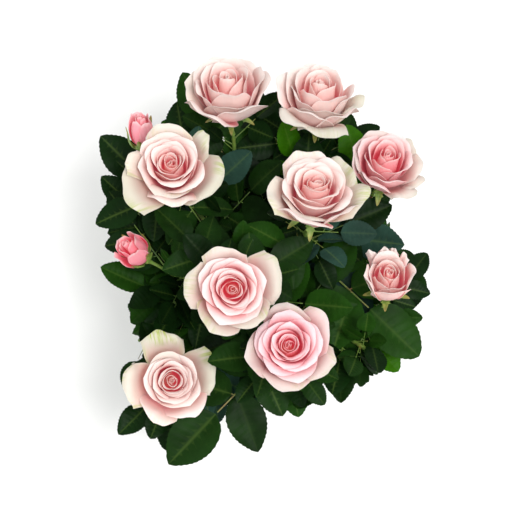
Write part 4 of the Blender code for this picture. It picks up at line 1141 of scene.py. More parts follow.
def prickles(name, lines, paint):
    """Hooked prickles along the stems, set by Geometry Nodes on a line through each of them."""
    starts = np.cumsum([0] + [len(line) for line in lines])
    edges = [(i, i + 1) for a, b in zip(starts, starts[1:]) for i in range(a, b - 1)]
    piece = mesh_piece(name, np.concatenate(lines), [], edges, smooth=False)
    sizes = {"Length": PRICKLE_LENGTH, "Radius": PRICKLE_RADIUS, "Spacing": PRICKLE_SPACING}
    tree, given = grower(name, "Lines", sizes, "Prickles")
    line = node(tree, "GeometryNodeMeshToCurve", {"Mesh": given["Lines"]})
    spots = node(tree, "GeometryNodeCurveToPoints",
                 {"Curve": line, "Length": given["Spacing"]}, mode="LENGTH")
    thin = node(tree, "FunctionNodeRandomValue", {"Probability": PRICKLES_MISSING, "Seed": 5},
                data_type="BOOLEAN")
    some = node(tree, "GeometryNodeDeleteGeometry",
                {"Geometry": spots, "Selection": thin.outputs[3]}, domain="POINT")
    spin = node(tree, "FunctionNodeRandomValue", {"Min": (-1, -1, -1), "Seed": 9},
                data_type="FLOAT_VECTOR")
    out = node(tree, "ShaderNodeVectorMath", {0: spots.outputs["Tangent"], 1: spin},
               operation="CROSS_PRODUCT")
    down = node(tree, "ShaderNodeVectorMath", {0: spots.outputs["Tangent"], "Scale": -PRICKLE_HOOK},
                operation="SCALE")
    tilt = node(tree, "ShaderNodeVectorMath", {0: out, 1: down})
    turn = node(tree, "FunctionNodeAlignRotationToVector", {"Vector": tilt}, axis="Z")
    cone = node(tree, "GeometryNodeMeshCone",
                {"Vertices": PRICKLE_SIDES, "Radius Top": PRICKLE_TIP,
                 "Radius Bottom": given["Radius"], "Depth": given["Length"]})
    size = node(tree, "FunctionNodeRandomValue", {2: PRICKLE_SIZES[0], 3: PRICKLE_SIZES[1], "Seed": 2},
                data_type="FLOAT")
    laid = node(tree, "GeometryNodeInstanceOnPoints",
                {"Points": some, "Instance": cone,
                 "Rotation": turn, "Scale": size.outputs[1]})
    return grown(piece, tree, "Prickles", laid, paint, sizes)


# Prickle: a hard hooked cone of the stem's skin, rust red and a little glossy.
horn, tree, shader = material("prickle_horn")
place = node(tree, "ShaderNodeTexCoord").outputs["Object"]
vary = node(tree, "ShaderNodeTexNoise", {"Vector": place, "Scale": 1000 / HORN_MOTTLE_MM})
tone = node(tree, "ShaderNodeValToRGB", {"Fac": vary}, [(0.35, PRICKLE_RED), (0.65, STEM_LIGHT)])
plug(tree, shader, {"Base Color": tone, "Roughness": 0.35})
older = [bent(stem, PRICKLED_MARKS[1])[0][:PRICKLED_MARKS[0]] for stem in stems]
thorns = prickles("stem_prickles", older, horn)
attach(thorns, "root")
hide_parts(*SHOOT_NODES)

# ======== The leaves ========
# Rose leaflets: broad ovate blades with a toothed edge and a short point, quilted between the side
# veins, satin dark green above and paler and matt beneath. Young ones are light green, and some leaves are
# bluish green, a painted sheen of reflected light.
LEAF_PIECES = 6             # each takes the leaves of every sixth shoot
LEAF_ROWS, LEAF_SIDE_COLUMNS = 24, 4
LEAF_THICKNESS = 0.00032
LEAF_MOTTLE_MM = 16.67
LEAF_WAVE = 0.0009          # of the edge
VEIN_EVERY = 3              # rows from one side vein to the next
VEIN_SLANT = 0.17
TOOTH = 0.00065
QUILT = 0.00075
TIP_POINT = 0.20
# name, colour and roughness
# the bluish green paints the sheen of reflected light on some leaves
GREENS = (("dark", "#0D2209", 0.40), ("deep", "#142D0B", 0.42), ("mid", "#1B3B0C", 0.44),
          ("blue", "#243D33", 0.50), ("bright", "#2E5E05", 0.42), ("young", "#507C14", 0.46))
LEAF_SHADE, LEAF_LIGHT = 0.60, 1.32         # darkest and lightest mottle, as shares of the green
VEIN_GREEN = "#7F9E4A"
UNDERSIDE, UNDERSIDE_VEIN = "#55784C", "#7C9A68"
VEIN_LIFT, SIDE_VEIN_LIFT = 0.40, 0.12      # how far the veins go towards a paler green
LEAF_MIX = (0, 0, 0, 0, 1, 1, 1, 1, 1, 2, 2, 2)     # greens by number, dealt at random
# places where the leaves have another green than the mix deals, painted sheen and painted shade among them:
# x, y, reach, number of the green
# green number 3 paints a sheen of reflected light on the leaves round its places
GREEN_SHEEN_AND_SHADE_SPOTS = ((0.070, 0.004, 0.022, 3), (0.095, -0.054, 0.006, 4), (0.073, -0.047, 0.013, 3),
              (0.078, 0.078, 0.012, 4), (0.030, 0.096, 0.012, 4), (-0.045, 0.078, 0.016, 3),
              (-0.031, -0.104, 0.020, 3), (-0.055, 0.140, 0.025, 2),
              # painted shade: the leaves on the back left, away from the lamp, are all dark
              (-0.098, 0.085, 0.060, 0))


def leaflet_grid():
    """A blade as a grid: values of its points, and faces of its two sheets and its two ends.

    The values are the shares along and across, and the weights of vein, midrib, tooth and underside.
    The rows are chevrons that follow the side veins. Root and tip are single points, and the upper
    and the lower sheet share the edge.
    """
    side = np.linspace(-1, 1, 2 * LEAF_SIDE_COLUMNS + 1)
    side = np.sign(side) * np.abs(side) ** 0.9
    rows = np.arange(1, LEAF_ROWS)
    across, along = np.meshgrid(side, rows / LEAF_ROWS)
    along = along + VEIN_SLANT * np.abs(across) * np.sin(math.pi * along) * (0.9 - 0.5 * along)
    on_vein = np.broadcast_to((rows % VEIN_EVERY == 0)[:, None], across.shape).astype(float)
    vein = np.where(across == 0, 1.0, on_vein * (1 - np.abs(across)) ** 0.3 * 0.75)
    rib = (across == 0) * 1.0
    tooth = np.broadcast_to((rows % 2 == 0)[:, None], across.shape) * (np.abs(across) == 1) * 1.0
    inner = len(side) - 2
    index = np.arange(across.size).reshape(across.shape)
    low = index.copy()
    low[:, 1:-1] = across.size + np.arange(len(rows) * inner).reshape(len(rows), inner)
    root = across.size + len(rows) * inner
    roots, tips = (np.full(len(side) - 1, end) for end in (root, root + 1))
    upper = np.stack((index[:-1, :-1], index[:-1, 1:], index[1:, 1:], index[1:, :-1]), -1)
    under = np.stack((low[:-1, :-1], low[1:, :-1], low[1:, 1:], low[:-1, 1:]), -1)
    fans = [np.stack((index[0, 1:], index[0, :-1], roots), 1),
            np.stack((index[-1, :-1], index[-1, 1:], tips), 1),
            np.stack((low[0, :-1], low[0, 1:], roots), 1),
            np.stack((low[-1, 1:], low[-1, :-1], tips), 1)]
    # each value once for the upper sheet, again for the inside of the lower one, then at both ends
    values = [np.concatenate((a.ravel(), a[:, 1:-1].ravel(), ends)) for a, ends in
              ((along, (0, 1)), (across, (0, 0)), (vein, (1, 1)), (rib, (1, 1)), (tooth, (0, 0)))]
    beneath = np.concatenate((np.zeros(across.size), np.ones(len(rows) * inner), (0, 0)))
    return (*values, beneath), upper.reshape(-1, 4), under.reshape(-1, 4), fans


BLADE, UPPER, UNDER, FANS = leaflet_grid()
LEAF_ALONG, LEAF_ACROSS, LEAF_VEIN, LEAF_RIB, LEAF_TOOTH, LEAF_BENEATH = BLADE


def leaflet_mesh(base, along, normal, length, rng):
    """The points of one blade, in the space that its outline takes."""
    along, normal, base = np.array(along), np.array(normal), np.array(base)
    side = np.cross(along, normal)
    base = base + along * RACHIS_RADIUS * 2
    x, t = LEAF_ALONG, LEAF_ACROSS
    size = length / LEAFLET_LENGTH
    # its half width: round at the root, drawn in to a short point
    ovate = np.sin(math.pi * np.clip(x, 0, 1) ** 0.82) ** rng.uniform(0.52, 0.68)
    point = 1 - TIP_POINT * np.clip((x - 0.72) / 0.28, 0, 1) ** 1.5
    half = length * LEAFLET_WIDTH / 2 * ovate * point * rng.uniform(0.94, 1.06)
    y = half * t + TOOTH * LEAF_TOOTH * np.sign(t) * (x < 0.97)
    # its height: folded along the midrib, hanging to the tip, quilted and waved
    fold = math.radians(LEAFLET_FOLD + rng.uniform(-8, 7))
    bow = rng.uniform(-0.03, 0.035)
    lift = np.sqrt(y * y + 0.0004 ** 2) * math.tan(fold) * (1 - 0.25 * np.abs(t))
    lift -= length * (LEAFLET_DROP * x ** 1.15 - bow * np.sin(math.pi * x))
    quilt = QUILT * size * (1 - LEAF_VEIN) * (1 - np.abs(t) ** 3)
    quilt = quilt * np.sin(math.pi * np.clip(x, 0, 1)) ** 0.4
    waves = np.sin(rng.uniform(2.0, 3.4) * math.pi * x + rng.uniform(0, 6.28))
    wave = LEAF_WAVE * size * waves * t * t * np.sign(t)
    lift = lift + quilt + wave - LEAF_THICKNESS * LEAF_BENEATH
    return (base + along * (x * length)[:, None] + side * (y * math.cos(fold))[:, None]
            + normal * lift[:, None])


def green_of(place, rng):
    """Which green a whole leaf has: that of a place with its own green, painted sheen or painted shade, or
    one dealt from the mix.
    """
    for x, y, reach, number in GREEN_SHEEN_AND_SHADE_SPOTS:
        if math.hypot(place.x - x, place.y - y) < reach:
            return number
    return rng.choice(LEAF_MIX)


leaf_paints = []
for name, colour, rough in GREENS:
    # Rose leaf, upper side: a satin cuticle over the green, with thin paler veins.
    paint, tree, shader = material("rose_leaf_" + name)
    vein, rib, tone = (node(tree, "ShaderNodeAttribute", attribute_name=value).outputs["Fac"]
                       for value in ("vein", "rib", "tone"))
    full = srgb(colour)[:3]
    deep, light = ((*(c * share for c in full), 1) for share in (LEAF_SHADE, LEAF_LIGHT))
    pale = (*(c * 0.5 + d * 0.5 for c, d in zip(full, srgb(VEIN_GREEN))), 1)
    place = node(tree, "ShaderNodeTexCoord").outputs["Object"]
    cells = node(tree, "ShaderNodeTexNoise", {"Vector": place, "Scale": 1000 / LEAF_MOTTLE_MM,
                                              "Detail": 4.0})
    mottled = node(tree, "ShaderNodeMath", {0: tone, 1: 0.45, 2: cells}, operation="MULTIPLY_ADD")
    body = node(tree, "ShaderNodeValToRGB", {"Fac": mottled}, [(0.42, deep), (1.02, light)])
    side = node(tree, "ShaderNodeMapRange", {"Value": vein, "From Min": 0.55, "From Max": 0.75,
                                             "To Max": SIDE_VEIN_LIFT})
    line = node(tree, "ShaderNodeMapRange", {"Value": rib, "From Min": 0.70, "From Max": 1.0,
                                             "To Min": side, "To Max": VEIN_LIFT})
    weight = node(tree, "ShaderNodeMath", {0: line, 1: tone}, operation="MULTIPLY")
    drawn = node(tree, "ShaderNodeMix", {0: weight, 6: body, 7: pale}, data_type="RGBA")
    plug(tree, shader, {"Base Color": drawn.outputs[2], "Roughness": rough, "Specular IOR Level": 0.045})
    leaf_paints.append(paint)

# Rose leaf, underside: the same leaf without its gloss, paler and greyer, with raised veins.
paint, tree, shader = material("rose_leaf_underside")
vein = node(tree, "ShaderNodeAttribute", attribute_name="vein")
drawn = node(tree, "ShaderNodeMix", {0: vein.outputs["Fac"], 6: srgb(UNDERSIDE), 7: srgb(UNDERSIDE_VEIN)},
             data_type="RGBA")
plug(tree, shader, {"Base Color": drawn.outputs[2], "Roughness": 0.6})
leaf_paints.append(paint)
BENEATH = len(leaf_paints) - 1

for number in range(LEAF_PIECES):
    group = stems[number::LEAF_PIECES]
    leaves = Joined()
    for stem in group:
        rng = random.Random("leaves of " + stem.name)
        for root, end, normal, kept in stem.leaves:
            green = green_of(end, rng)
            for leaflet in kept:
                points = leaflet_mesh(*leaflet, rng)
                leaves.add(points, UPPER, *FANS[:2], UNDER, *FANS[2:],
                           paints=[green] * 3 + [BENEATH] * 3,
                           vein=LEAF_VEIN, rib=LEAF_RIB, tone=rng.random())
    leaves.piece("leaves_%d" % (number + 1), leaf_paints, "leaf", [stem.name for stem in group], sharp=55)

# ======== The blooms ========
# Full double roses: soft petals stand by the golden turn round a tight heart. Those of the cup
# stand up, those round it curl out at the rim, and the outermost lie wide and nearly cream.
PETAL_ROWS, PETAL_COLUMNS = 17, 17
PETAL_THICKNESS, PETAL_EDGE = 0.00042, 0.00020
PROFILE_MARKS = 90
GOLDEN_TURN = 137.508
FEWEST_PETALS, MOST_PETALS = 12, 32      # of a bud and of a full flower
BUD_OPENING = 0.15                       # a bud is no further open than this
BUD_WHORLS = 0.60                        # its petals have the colours of so many of the whorls
# from the heart of the flower outwards: reach and height as shares of the flower's own, slope of
# the petal below its rim and curl of the rim in degrees, for a full flower and for a closed one
WHORLS = (0.0, 0.2, 0.4, 0.6, 0.8, 1.0)
OPEN_FORM = ((0.030, 0.190, 0.360, 0.590, 0.810, 1.040),
             (0.84, 0.94, 1.00, 0.90, 0.70, 0.42),
             (2, 4, 12, 36, 58, 84),
             (6, 22, 52, 66, 62, 46))
CUP_FORM = ((0.030, 0.200, 0.400, 0.640, 0.840, 1.000),
            (0.95, 1.00, 1.00, 0.97, 0.92, 0.82),
            (0, -2, -4, -2, 4, 14),
            (3, 10, 20, 34, 48, 62))
BUD_REACH = (0.02, 0.15, 0.28, 0.52, 0.78, 0.96)
BUD_HEIGHT = (0.95, 1.00, 0.99, 0.97, 0.93, 0.88)
BUD_SLOPE = -34             # of its outermost petals, which close over the others
HALF_WIDTH = (0.0062, 0.0120, 0.0175, 0.0210, 0.0235, 0.0250)    # for a flower of SCALE_WIDTH
SCALE_WIDTH = 0.075
# the outermost petals: azimuth, counted anticlockwise from the back, reach and width as shares of
# what the whorl has, how square the rim is, and how far the petal opens
GUARDS = {
    "bloom_back_left": (
        (84, 1.08, 0.9, 0.4, 0.4), (272, 1.04, 0.9, 0.4, 0.2), (330, 0.98, 0.8, 0.2, 0.2),
        (204, 1.08, 1.0, 0.3, -0.1), (146, 1.10, 1.0, 0.5, 0.0), (20, 0.96, 0.8, 0.2, 0.2)),
    "bloom_back_right": (
        (136, 1.34, 0.8, 0.6, 1.15), (250, 1.12, 0.8, 0.5, 0.6), (184, 1.30, 0.9, 0.7, 1.20),
        (12, 0.98, 0.9, 0.2, 0.2), (70, 1.02, 0.8, 0.3, 0.2), (214, 0.96, 0.9, 0.3, 0.1),
        (160, 0.96, 0.9, 0.2, 0.0)),
    "bloom_right_back": (
        (72, 1.04, 1.0, 0.2, 0.3), (272, 1.12, 0.7, 0.9, 0.7), (8, 1.02, 0.9, 0.5, 0.4),
        (214, 1.18, 0.6, 0.9, 0.9), (150, 0.98, 0.8, 0.2, 0.2), (312, 1.08, 0.6, 0.9, 0.7),
        (240, 1.06, 0.6, 0.7, 0.6)),
    "bloom_left_back": (
        (84, 1.06, 0.45, 0.8, 0.6), (250, 1.20, 1.00, 0.3, 0.9), (310, 1.06, 0.45, 0.6, 0.6),
        (120, 1.18, 0.90, 0.7, 0.9), (4, 0.94, 0.8, 0.1, 0.4), (182, 0.90, 0.8, 0.2, 0.3)),
    "bloom_centre_right": (
        (94, 1.12, 0.80, 0.8, 0.7), (222, 1.00, 0.75, 0.4, 0.25), (266, 1.18, 0.70, 0.5, 0.8),
        (160, 1.00, 0.95, 0.4, 0.2), (8, 1.00, 0.8, 0.5, 0.3), (318, 1.06, 0.74, 0.6, 0.5)),
    "bloom_centre": (
        (14, 1.06, 0.75, 0.7, 0.8), (214, 1.02, 0.8, 0.2, 0.6), (84, 1.10, 0.80, 0.5, 0.8),
        (288, 1.14, 0.90, 0.8, 0.9), (152, 0.98, 0.85, 0.2, 0.5)),
    "bloom_front": (
        (300, 1.16, 0.9, 0.6, 0.9), (172, 1.08, 1.0, 0.2, 0.7), (104, 1.02, 0.85, 0.2, 0.6),
        (2, 0.96, 0.85, 0.1, 0.5), (236, 1.02, 0.85, 0.3, 0.7)),
    "bloom_front_left": (
        (100, 1.22, 0.76, 1.0, 1.0), (286, 1.12, 0.82, 1.0, 0.8), (14, 1.16, 0.70, 1.0, 0.9),
        (158, 0.98, 0.72, 0.2, 0.3), (214, 0.90, 0.80, 0.1, 0.2)),
    "bloom_right": (
        (190, 1.00, 1.25, 0.2, -0.2), (104, 0.98, 1.0, 0.2, -0.2), (266, 0.98, 1.0, 0.2, -0.2),
        (6, 1.14, 0.34, 0.8, 0.05), (28, 1.16, 0.28, 1.0, 0.05), (346, 1.16, 0.28, 0.9, 0.05),
        (324, 1.12, 0.28, 0.9, 0.05)),
}
# how a flower nods on its hip: azimuth and angle of its lean, width and opening
NODS = {"bloom_back_left": (98, 26, 0.076, 0.48), "bloom_back_right": (84, 28, 0.073, 0.50),
        "bloom_right_back": (68, 17, 0.063, 0.60), "bloom_left_back": (96, 3, 0.080, 0.80),
        "bloom_centre_right": (78, 20, 0.080, 0.82), "bloom_right": (88, 14, 0.046, 0.30),
        "bud_back": (97, 34, 0.022, 0.08), "bud_left": (160, 28, 0.027, 0.14)}
# how much cream and green the outermost petals have
TINGES = {"bloom_back_left": 0.3, "bloom_back_right": 0.5, "bloom_right_back": 0.25,
          "bloom_front": 0.35, "bloom_right": 0.4, "bud_back": 0.0, "bud_left": 0.0,
          "bloom_front_left": 1.3, "bloom_centre": 0.6}
# how far the petals inside the outermost ones reach, as a share
CORES = {"bloom_front_left": 0.76, "bloom_left_back": 0.88, "bloom_centre_right": 0.96, "bloom_centre": 0.97}
GUARD_WHORL = 0.84          # where the outermost petals take over from those of the golden turn
# how deep a rose a flower has; below zero it is paler than most
BLUSH = {"bloom_back_left": -1.4, "bloom_back_right": -1.4, "bloom_right_back": 0.5, "bloom_right": -0.4,
         "bloom_front": 1.1, "bloom_left_back": -0.2, "bloom_centre_right": -0.6, "bloom_centre": 0.4,
         "bloom_front_left": -0.4, "bud_back": 1.1, "bud_left": 1.5}
# the deepest rose, at the low end, is partly the petals' own colour and partly painted shade of the deep
# folds
PETAL_COLOURS = ((0.00, "#F05A72"), (0.18, "#EE7E8A"), (0.36, "#EC9CA0"), (0.54, "#EBB8B4"),
                 (0.72, "#E9CAC4"), (1.00, "#E6D6D0"))
ROSY = (1.0, 0.90, 1.0, 1.0)            # what the pinker flowers hold back
PETAL_CREAM, PETAL_GREEN = "#E0D2C2", "#AEBA3C"
GUARD_TONE = (0.74, 0.81, 0.75, 1.0)    # the outermost petals are duller
RIM_PAINTED_HIGHLIGHT, BLUSH_DEEP = 0.22, -0.12      # what the rim's painted highlight and the blush add to the place in PETAL_COLOURS
# painted glow: strength and colour of the light that the petals give off in the folds and in the heart
PETAL_PAINTED_GLOW, PAINTED_GLOW_ROSE, HEART_PAINTED_GLOW, PAINTED_GLOW_SALMON = 0.14, "#F06A80", 0.13, "#F59A86"
# width and length of the streaks, and of the areas that have them, on a petal of this half width
# and length; the last number gives each petal its own
HALF_PETAL_MM, PETAL_MM = 20.0, 40.0
STREAK_MM, STREAK_AREA_MM = (2.22, 20.0), (15.4, 25.0)
STREAKS, STREAK_AREAS = ((HALF_PETAL_MM / wide, PETAL_MM / high, 90.0)
                         for wide, high in (STREAK_MM, STREAK_AREA_MM))


def smooth(low, high, x):
    """From 0 at low to 1 at high, without a corner."""
    x = np.clip((x - low) / (high - low), 0, 1)
    return x * x * (3 - 2 * x)


def petal_profile(flower, f, extent, rng, flare=None):
    """How a petal of the whorl f, from 0 in the heart to 1 outside, rises and opens.

    Gives its radius, height and slope at each share of its length, and the length.
    """
    full = smooth(0.35, 1.0, flower.opening) if flare is None else flare
    reach, top, slope, curl = (
        np.interp(f, WHORLS, opened) * full + np.interp(f, WHORLS, closed) * (1 - full)
        for opened, closed in zip(OPEN_FORM, CUP_FORM))
    if flower.opening < 0.3:
        near = flower.opening / 0.3
        reach = reach * near + np.interp(f, WHORLS, BUD_REACH) * (1 - near)
        top = top * near + np.interp(f, WHORLS, BUD_HEIGHT) * (1 - near)
        slope = slope * near + BUD_SLOPE * f * (1 - near)
        curl = curl * near
    reach = reach * flower.width / 2 * extent
    top = top * flower.height * rng.uniform(0.93, 1.03)
    top = top + rng.uniform(-0.0025, 0.0025) * (f > GUARD_WHORL)
    slope = math.radians(slope + rng.uniform(-7, 7))
    curl = math.radians(curl * rng.uniform(0.75, 1.25))
    base = np.array((0.0007 + 0.0038 * f, 0.0032 - 0.0020 * f))
    tip = np.array((reach, top))
    chord = np.hypot(*(tip - base))
    first = math.radians(38 + 46 * f)
    knots = (base, base + chord * 0.42 * np.array((math.sin(first), math.cos(first))),
             tip - chord * 0.42 * np.array((math.sin(slope), math.cos(slope))), tip)
    weights = smooth_weights(np.linspace(0, 1, PROFILE_MARKS))
    radius, height = (sum(w * knot[i] for w, knot in zip(weights, knots)) for i in (0, 1))
    steps = np.hypot(np.diff(radius), np.diff(height))
    share = np.concatenate(([0], np.cumsum(steps))) / steps.sum()
    middle = (share[1:] + share[:-1]) / 2
    # the rim curls out, over a zone that is wider on the outer petals
    zone = np.interp(f, (0, 0.3, 0.6, 1), (0.05, 0.12, 0.22, 0.30))
    lean = np.arctan2(np.diff(radius), np.diff(height)) + curl * smooth(1 - zone, 1.03, middle) ** 1.1
    radius = np.concatenate(([base[0]], base[0] + np.cumsum(np.sin(lean) * steps)))
    height = np.concatenate(([base[1]], base[1] + np.cumsum(np.cos(lean) * steps)))
    # the widest and the highest point stay where the whorl has them
    belly = max(radius.max(), 1e-6)
    radius = base[0] + (radius - base[0]) * (max(reach, 0.0011) - base[0] * 0.2) / belly
    height = base[1] + (height - base[1]) * (top - base[1]) / (height.max() - base[1])
    lean = np.arctan2(np.gradient(radius), np.gradient(height))
    length = np.hypot(np.diff(radius), np.diff(height)).sum()
    return share, radius, height, lean, length


def set_on(flower, azimuth, radius, height, sideways):
    """Points of a flower from grids of how far each lies out at an azimuth, up and to the side."""
    side, other = np.array(flower.side), np.array(flower.other)
    out = side * math.cos(azimuth) + other * math.sin(azimuth)
    wide = other * math.cos(azimuth) - side * math.sin(azimuth)
    return (np.array(flower.base) + np.array(flower.axis) * height[..., None]
            + out * radius[..., None] + wide * sideways[..., None])


def petal_sheet(flower, f, azimuth, rng, extent, breadth=None, square=0.0, flare=None):
    """The middle surface of one petal as a grid, with the share along and across at each point."""
    share, radius, height, slope, length = petal_profile(flower, f, extent, rng, flare)
    scale = flower.width / SCALE_WIDTH
    across = np.linspace(-1, 1, PETAL_COLUMNS)
    across = np.sign(across) * np.abs(across) ** 0.85
    across, rows = np.meshgrid(across, np.linspace(0, 1, PETAL_ROWS) ** 0.80)
    phase = rng.uniform(0, 6.28, 5)
    # the rim: rounded or square at its corners, with a small point, waved
    rim = (1 - 0.07 * across ** 2 - (0.22 - 0.18 * square) * np.abs(across) ** 5
           + (0.006 + 0.026 * f) * (1 - square) * np.exp(-(across / 0.16) ** 2)
           + 0.014 * np.sin(3.6 * across + phase[0])
           + (0.003 + 0.007 * f) * np.sin(8 * across + phase[1]))
    # an outer petal is cut slantwise across its tip
    rim = rim * (1 + 0.10 * square * across * math.sin(phase[4]))
    along = rows * rim
    # the width: narrow at the claw, full from two thirds of the length on
    body = 0.26 + 0.74 * np.sin(0.5 * np.pi * np.clip(along / 0.62, 0, 1)) ** 1.15
    body = body * (1 + (0.16 * square - 0.12) * smooth(0.70, 1.0, along) * np.abs(across))
    reach = scale * np.interp(f, WHORLS, HALF_WIDTH) * (breadth or rng.uniform(0.90, 1.10))
    sideways = reach * body * across
    r, h, a = (np.interp(along, share, values) for values in (radius, height, slope))
    beyond = np.clip(along - 1, 0, None) * length
    r, h = r + beyond * math.sin(slope[-1]), h + beyond * math.cos(slope[-1])
    # the petal wraps round the flower as tightly as its own radius asks
    bend = np.maximum(r, 0.0012) * (1.02 + 0.45 * f * f)
    turn = np.clip(sideways / bend, -2.9, 2.9)
    # waves near the rim, sides that roll back, and one side tucked under the next petal
    wave = (np.sin(2.3 * np.pi * across + phase[2]) * 0.0005
            + np.sin(5.2 * across + phase[3]) * 0.0006)
    wave = wave * scale * smooth(0.45, 1, along) * (0.2 + 1.2 * f)
    at_side = np.clip((np.abs(across) - 0.5) / 0.5, 0, 1) ** 2
    rolled = (0.0060 + 0.0045 * square) * scale * f * f * at_side * smooth(0.35, 0.95, along)
    spiral = 0.10 + 0.26 * (1 - smooth(0.05, 0.45, f))
    r = r + (wave + rolled) * np.cos(a) + spiral * r * across * along
    h = h - (wave + rolled) * np.sin(a)
    # the heart stands a little askew, each petal by its own amount
    r = r + rng.normal(0, 0.0013) * (1 - f) * along
    h = h + rng.normal(0, 0.0018) * (1 - f) * along * across
    sheet = set_on(flower, azimuth, r - bend * (1 - np.cos(turn)), h, bend * np.sin(turn))
    return sheet, along, across


def shell(sheet, thickness, edge):
    """A grid as a thin closed body, thinner at its free edges: its points, two sides and rim."""
    rows, columns, _ = sheet.shape
    out = unit(np.cross(np.gradient(sheet, axis=1), np.gradient(sheet, axis=0)))
    thick = np.full((rows, columns, 1), thickness / 2)
    thick[-1, :] = thick[:, 0] = thick[:, -1] = edge / 2
    points = np.concatenate((sheet + out * thick, sheet - out * thick)).reshape(-1, 3)
    index = np.arange(rows * columns).reshape(rows, columns)
    front = np.stack((index[:-1, :-1], index[:-1, 1:], index[1:, 1:], index[1:, :-1]), -1)
    front = front.reshape(-1, 4)
    back = front[:, ::-1] + rows * columns
    ring = np.concatenate((index[0, :-1], index[:-1, -1], index[-1, :0:-1], index[:0:-1, 0]))
    after = np.roll(ring, -1)
    rim = np.stack((after, ring, ring + rows * columns, after + rows * columns), -1)
    return points, front, back, rim


# Rose petal: a soft, faintly velvety skin that light passes through; inside it is deepest in colour at the
# claw, partly its own colour and partly painted shade of the folds, and palest at the rim, with a painted
# highlight along the edges; the outermost petals are cream with green streaks, and folds and heart have a
# painted glow.
petal, tree, shader = material("rose_petal")
along, across, whorl, blush, tinge, outside = (
    node(tree, "ShaderNodeAttribute", attribute_name=value).outputs["Fac"]
    for value in ("along", "across", "whorl", "blush", "tinge", "outside"))
side = node(tree, "ShaderNodeMath", {0: across}, operation="ABSOLUTE")
edge = node(tree, "ShaderNodeMath", {0: along, 1: side}, operation="MAXIMUM")
# painted highlight: the petals are paler along their rims and side edges
rim = node(tree, "ShaderNodeMapRange", {"Value": edge, "From Min": 0.88, "From Max": 1.0,
                                        "To Max": RIM_PAINTED_HIGHLIGHT}, interpolation_type="SMOOTHSTEP")
veins = node(tree, "ShaderNodeCombineXYZ", {"X": across, "Y": along, "Z": whorl})
streaks = node(tree, "ShaderNodeMapping", {"Vector": veins, "Scale": STREAKS})
streak = node(tree, "ShaderNodeTexNoise", {"Vector": streaks, "Scale": 1.0, "Detail": 5.0,
                                           "Roughness": 0.62})
fine = node(tree, "ShaderNodeMapRange", {"Value": streak, "To Min": -0.06, "To Max": 0.06})
# rose in the heart, paler from whorl to whorl and from the claw to the rim; the deep rose at the claw is
# partly the petal's own colour and partly painted shade of the folds
inner = node(tree, "ShaderNodeMapRange", {"Value": along, "From Min": 0.42, "From Max": 1.0, "To Max": 0.52},
             interpolation_type="SMOOTHSTEP")
outer = node(tree, "ShaderNodeMapRange", {"Value": along, "To Min": 0.16, "To Max": 0.42})
length = node(tree, "ShaderNodeMix", {0: outside, 2: inner, 3: outer})
by_whorl = node(tree, "ShaderNodeMath", {0: whorl, 1: 0.34, 2: length}, operation="MULTIPLY_ADD")
outmost = node(tree, "ShaderNodeMapRange", {"Value": whorl, "From Min": 0.72, "From Max": 0.90,
                                            "To Max": 0.20})
paler = node(tree, "ShaderNodeMath", {0: outmost, 1: by_whorl}, operation="ADD")
by_blush = node(tree, "ShaderNodeMath", {0: blush, 1: BLUSH_DEEP, 2: paler}, operation="MULTIPLY_ADD")
with_rim_highlight = node(tree, "ShaderNodeMath", {0: by_blush, 1: rim}, operation="ADD")
shade = node(tree, "ShaderNodeMath", {0: with_rim_highlight, 1: fine}, operation="ADD")
tone = node(tree, "ShaderNodeValToRGB", {"Fac": shade}, PETAL_COLOURS)
rosy = node(tree, "ShaderNodeMix", {0: blush, 6: tone, 7: ROSY}, data_type="RGBA",
            blend_type="MULTIPLY")
# cream towards the rim of the outer petals, with green streaks in some areas of it
far = node(tree, "ShaderNodeMapRange", {"Value": edge, "From Min": 0.68, "From Max": 1.05})
creamy = node(tree, "ShaderNodeMath", {0: far, 1: tinge}, operation="MULTIPLY")
creamed = node(tree, "ShaderNodeMix", {0: creamy, 6: rosy.outputs[2], 7: srgb(PETAL_CREAM)},
               data_type="RGBA")
patch = node(tree, "ShaderNodeMapRange", {"Value": streak, "From Min": 0.44, "From Max": 0.56})
areas = node(tree, "ShaderNodeMapping", {"Vector": veins, "Scale": STREAK_AREAS})
area = node(tree, "ShaderNodeTexNoise", {"Vector": areas, "Scale": 1.0, "Detail": 1.0})
green = node(tree, "ShaderNodeMapRange", {"Value": area, "From Min": 0.47, "From Max": 0.60,
                                          "To Max": 1.25})
streaky = node(tree, "ShaderNodeMath", {0: patch, 1: green}, operation="MULTIPLY")
spot = node(tree, "ShaderNodeMath", {0: streaky, 1: creamy}, operation="MULTIPLY")
final = node(tree, "ShaderNodeMix", {0: spot, 6: creamed.outputs[2], 7: srgb(PETAL_GREEN)},
             data_type="RGBA")
outermost = node(tree, "ShaderNodeMapRange", {"Value": whorl, "From Min": 0.80, "From Max": 0.86})
toned = node(tree, "ShaderNodeMix", {0: outermost, 6: final.outputs[2], 7: GUARD_TONE},
             data_type="RGBA", blend_type="MULTIPLY")
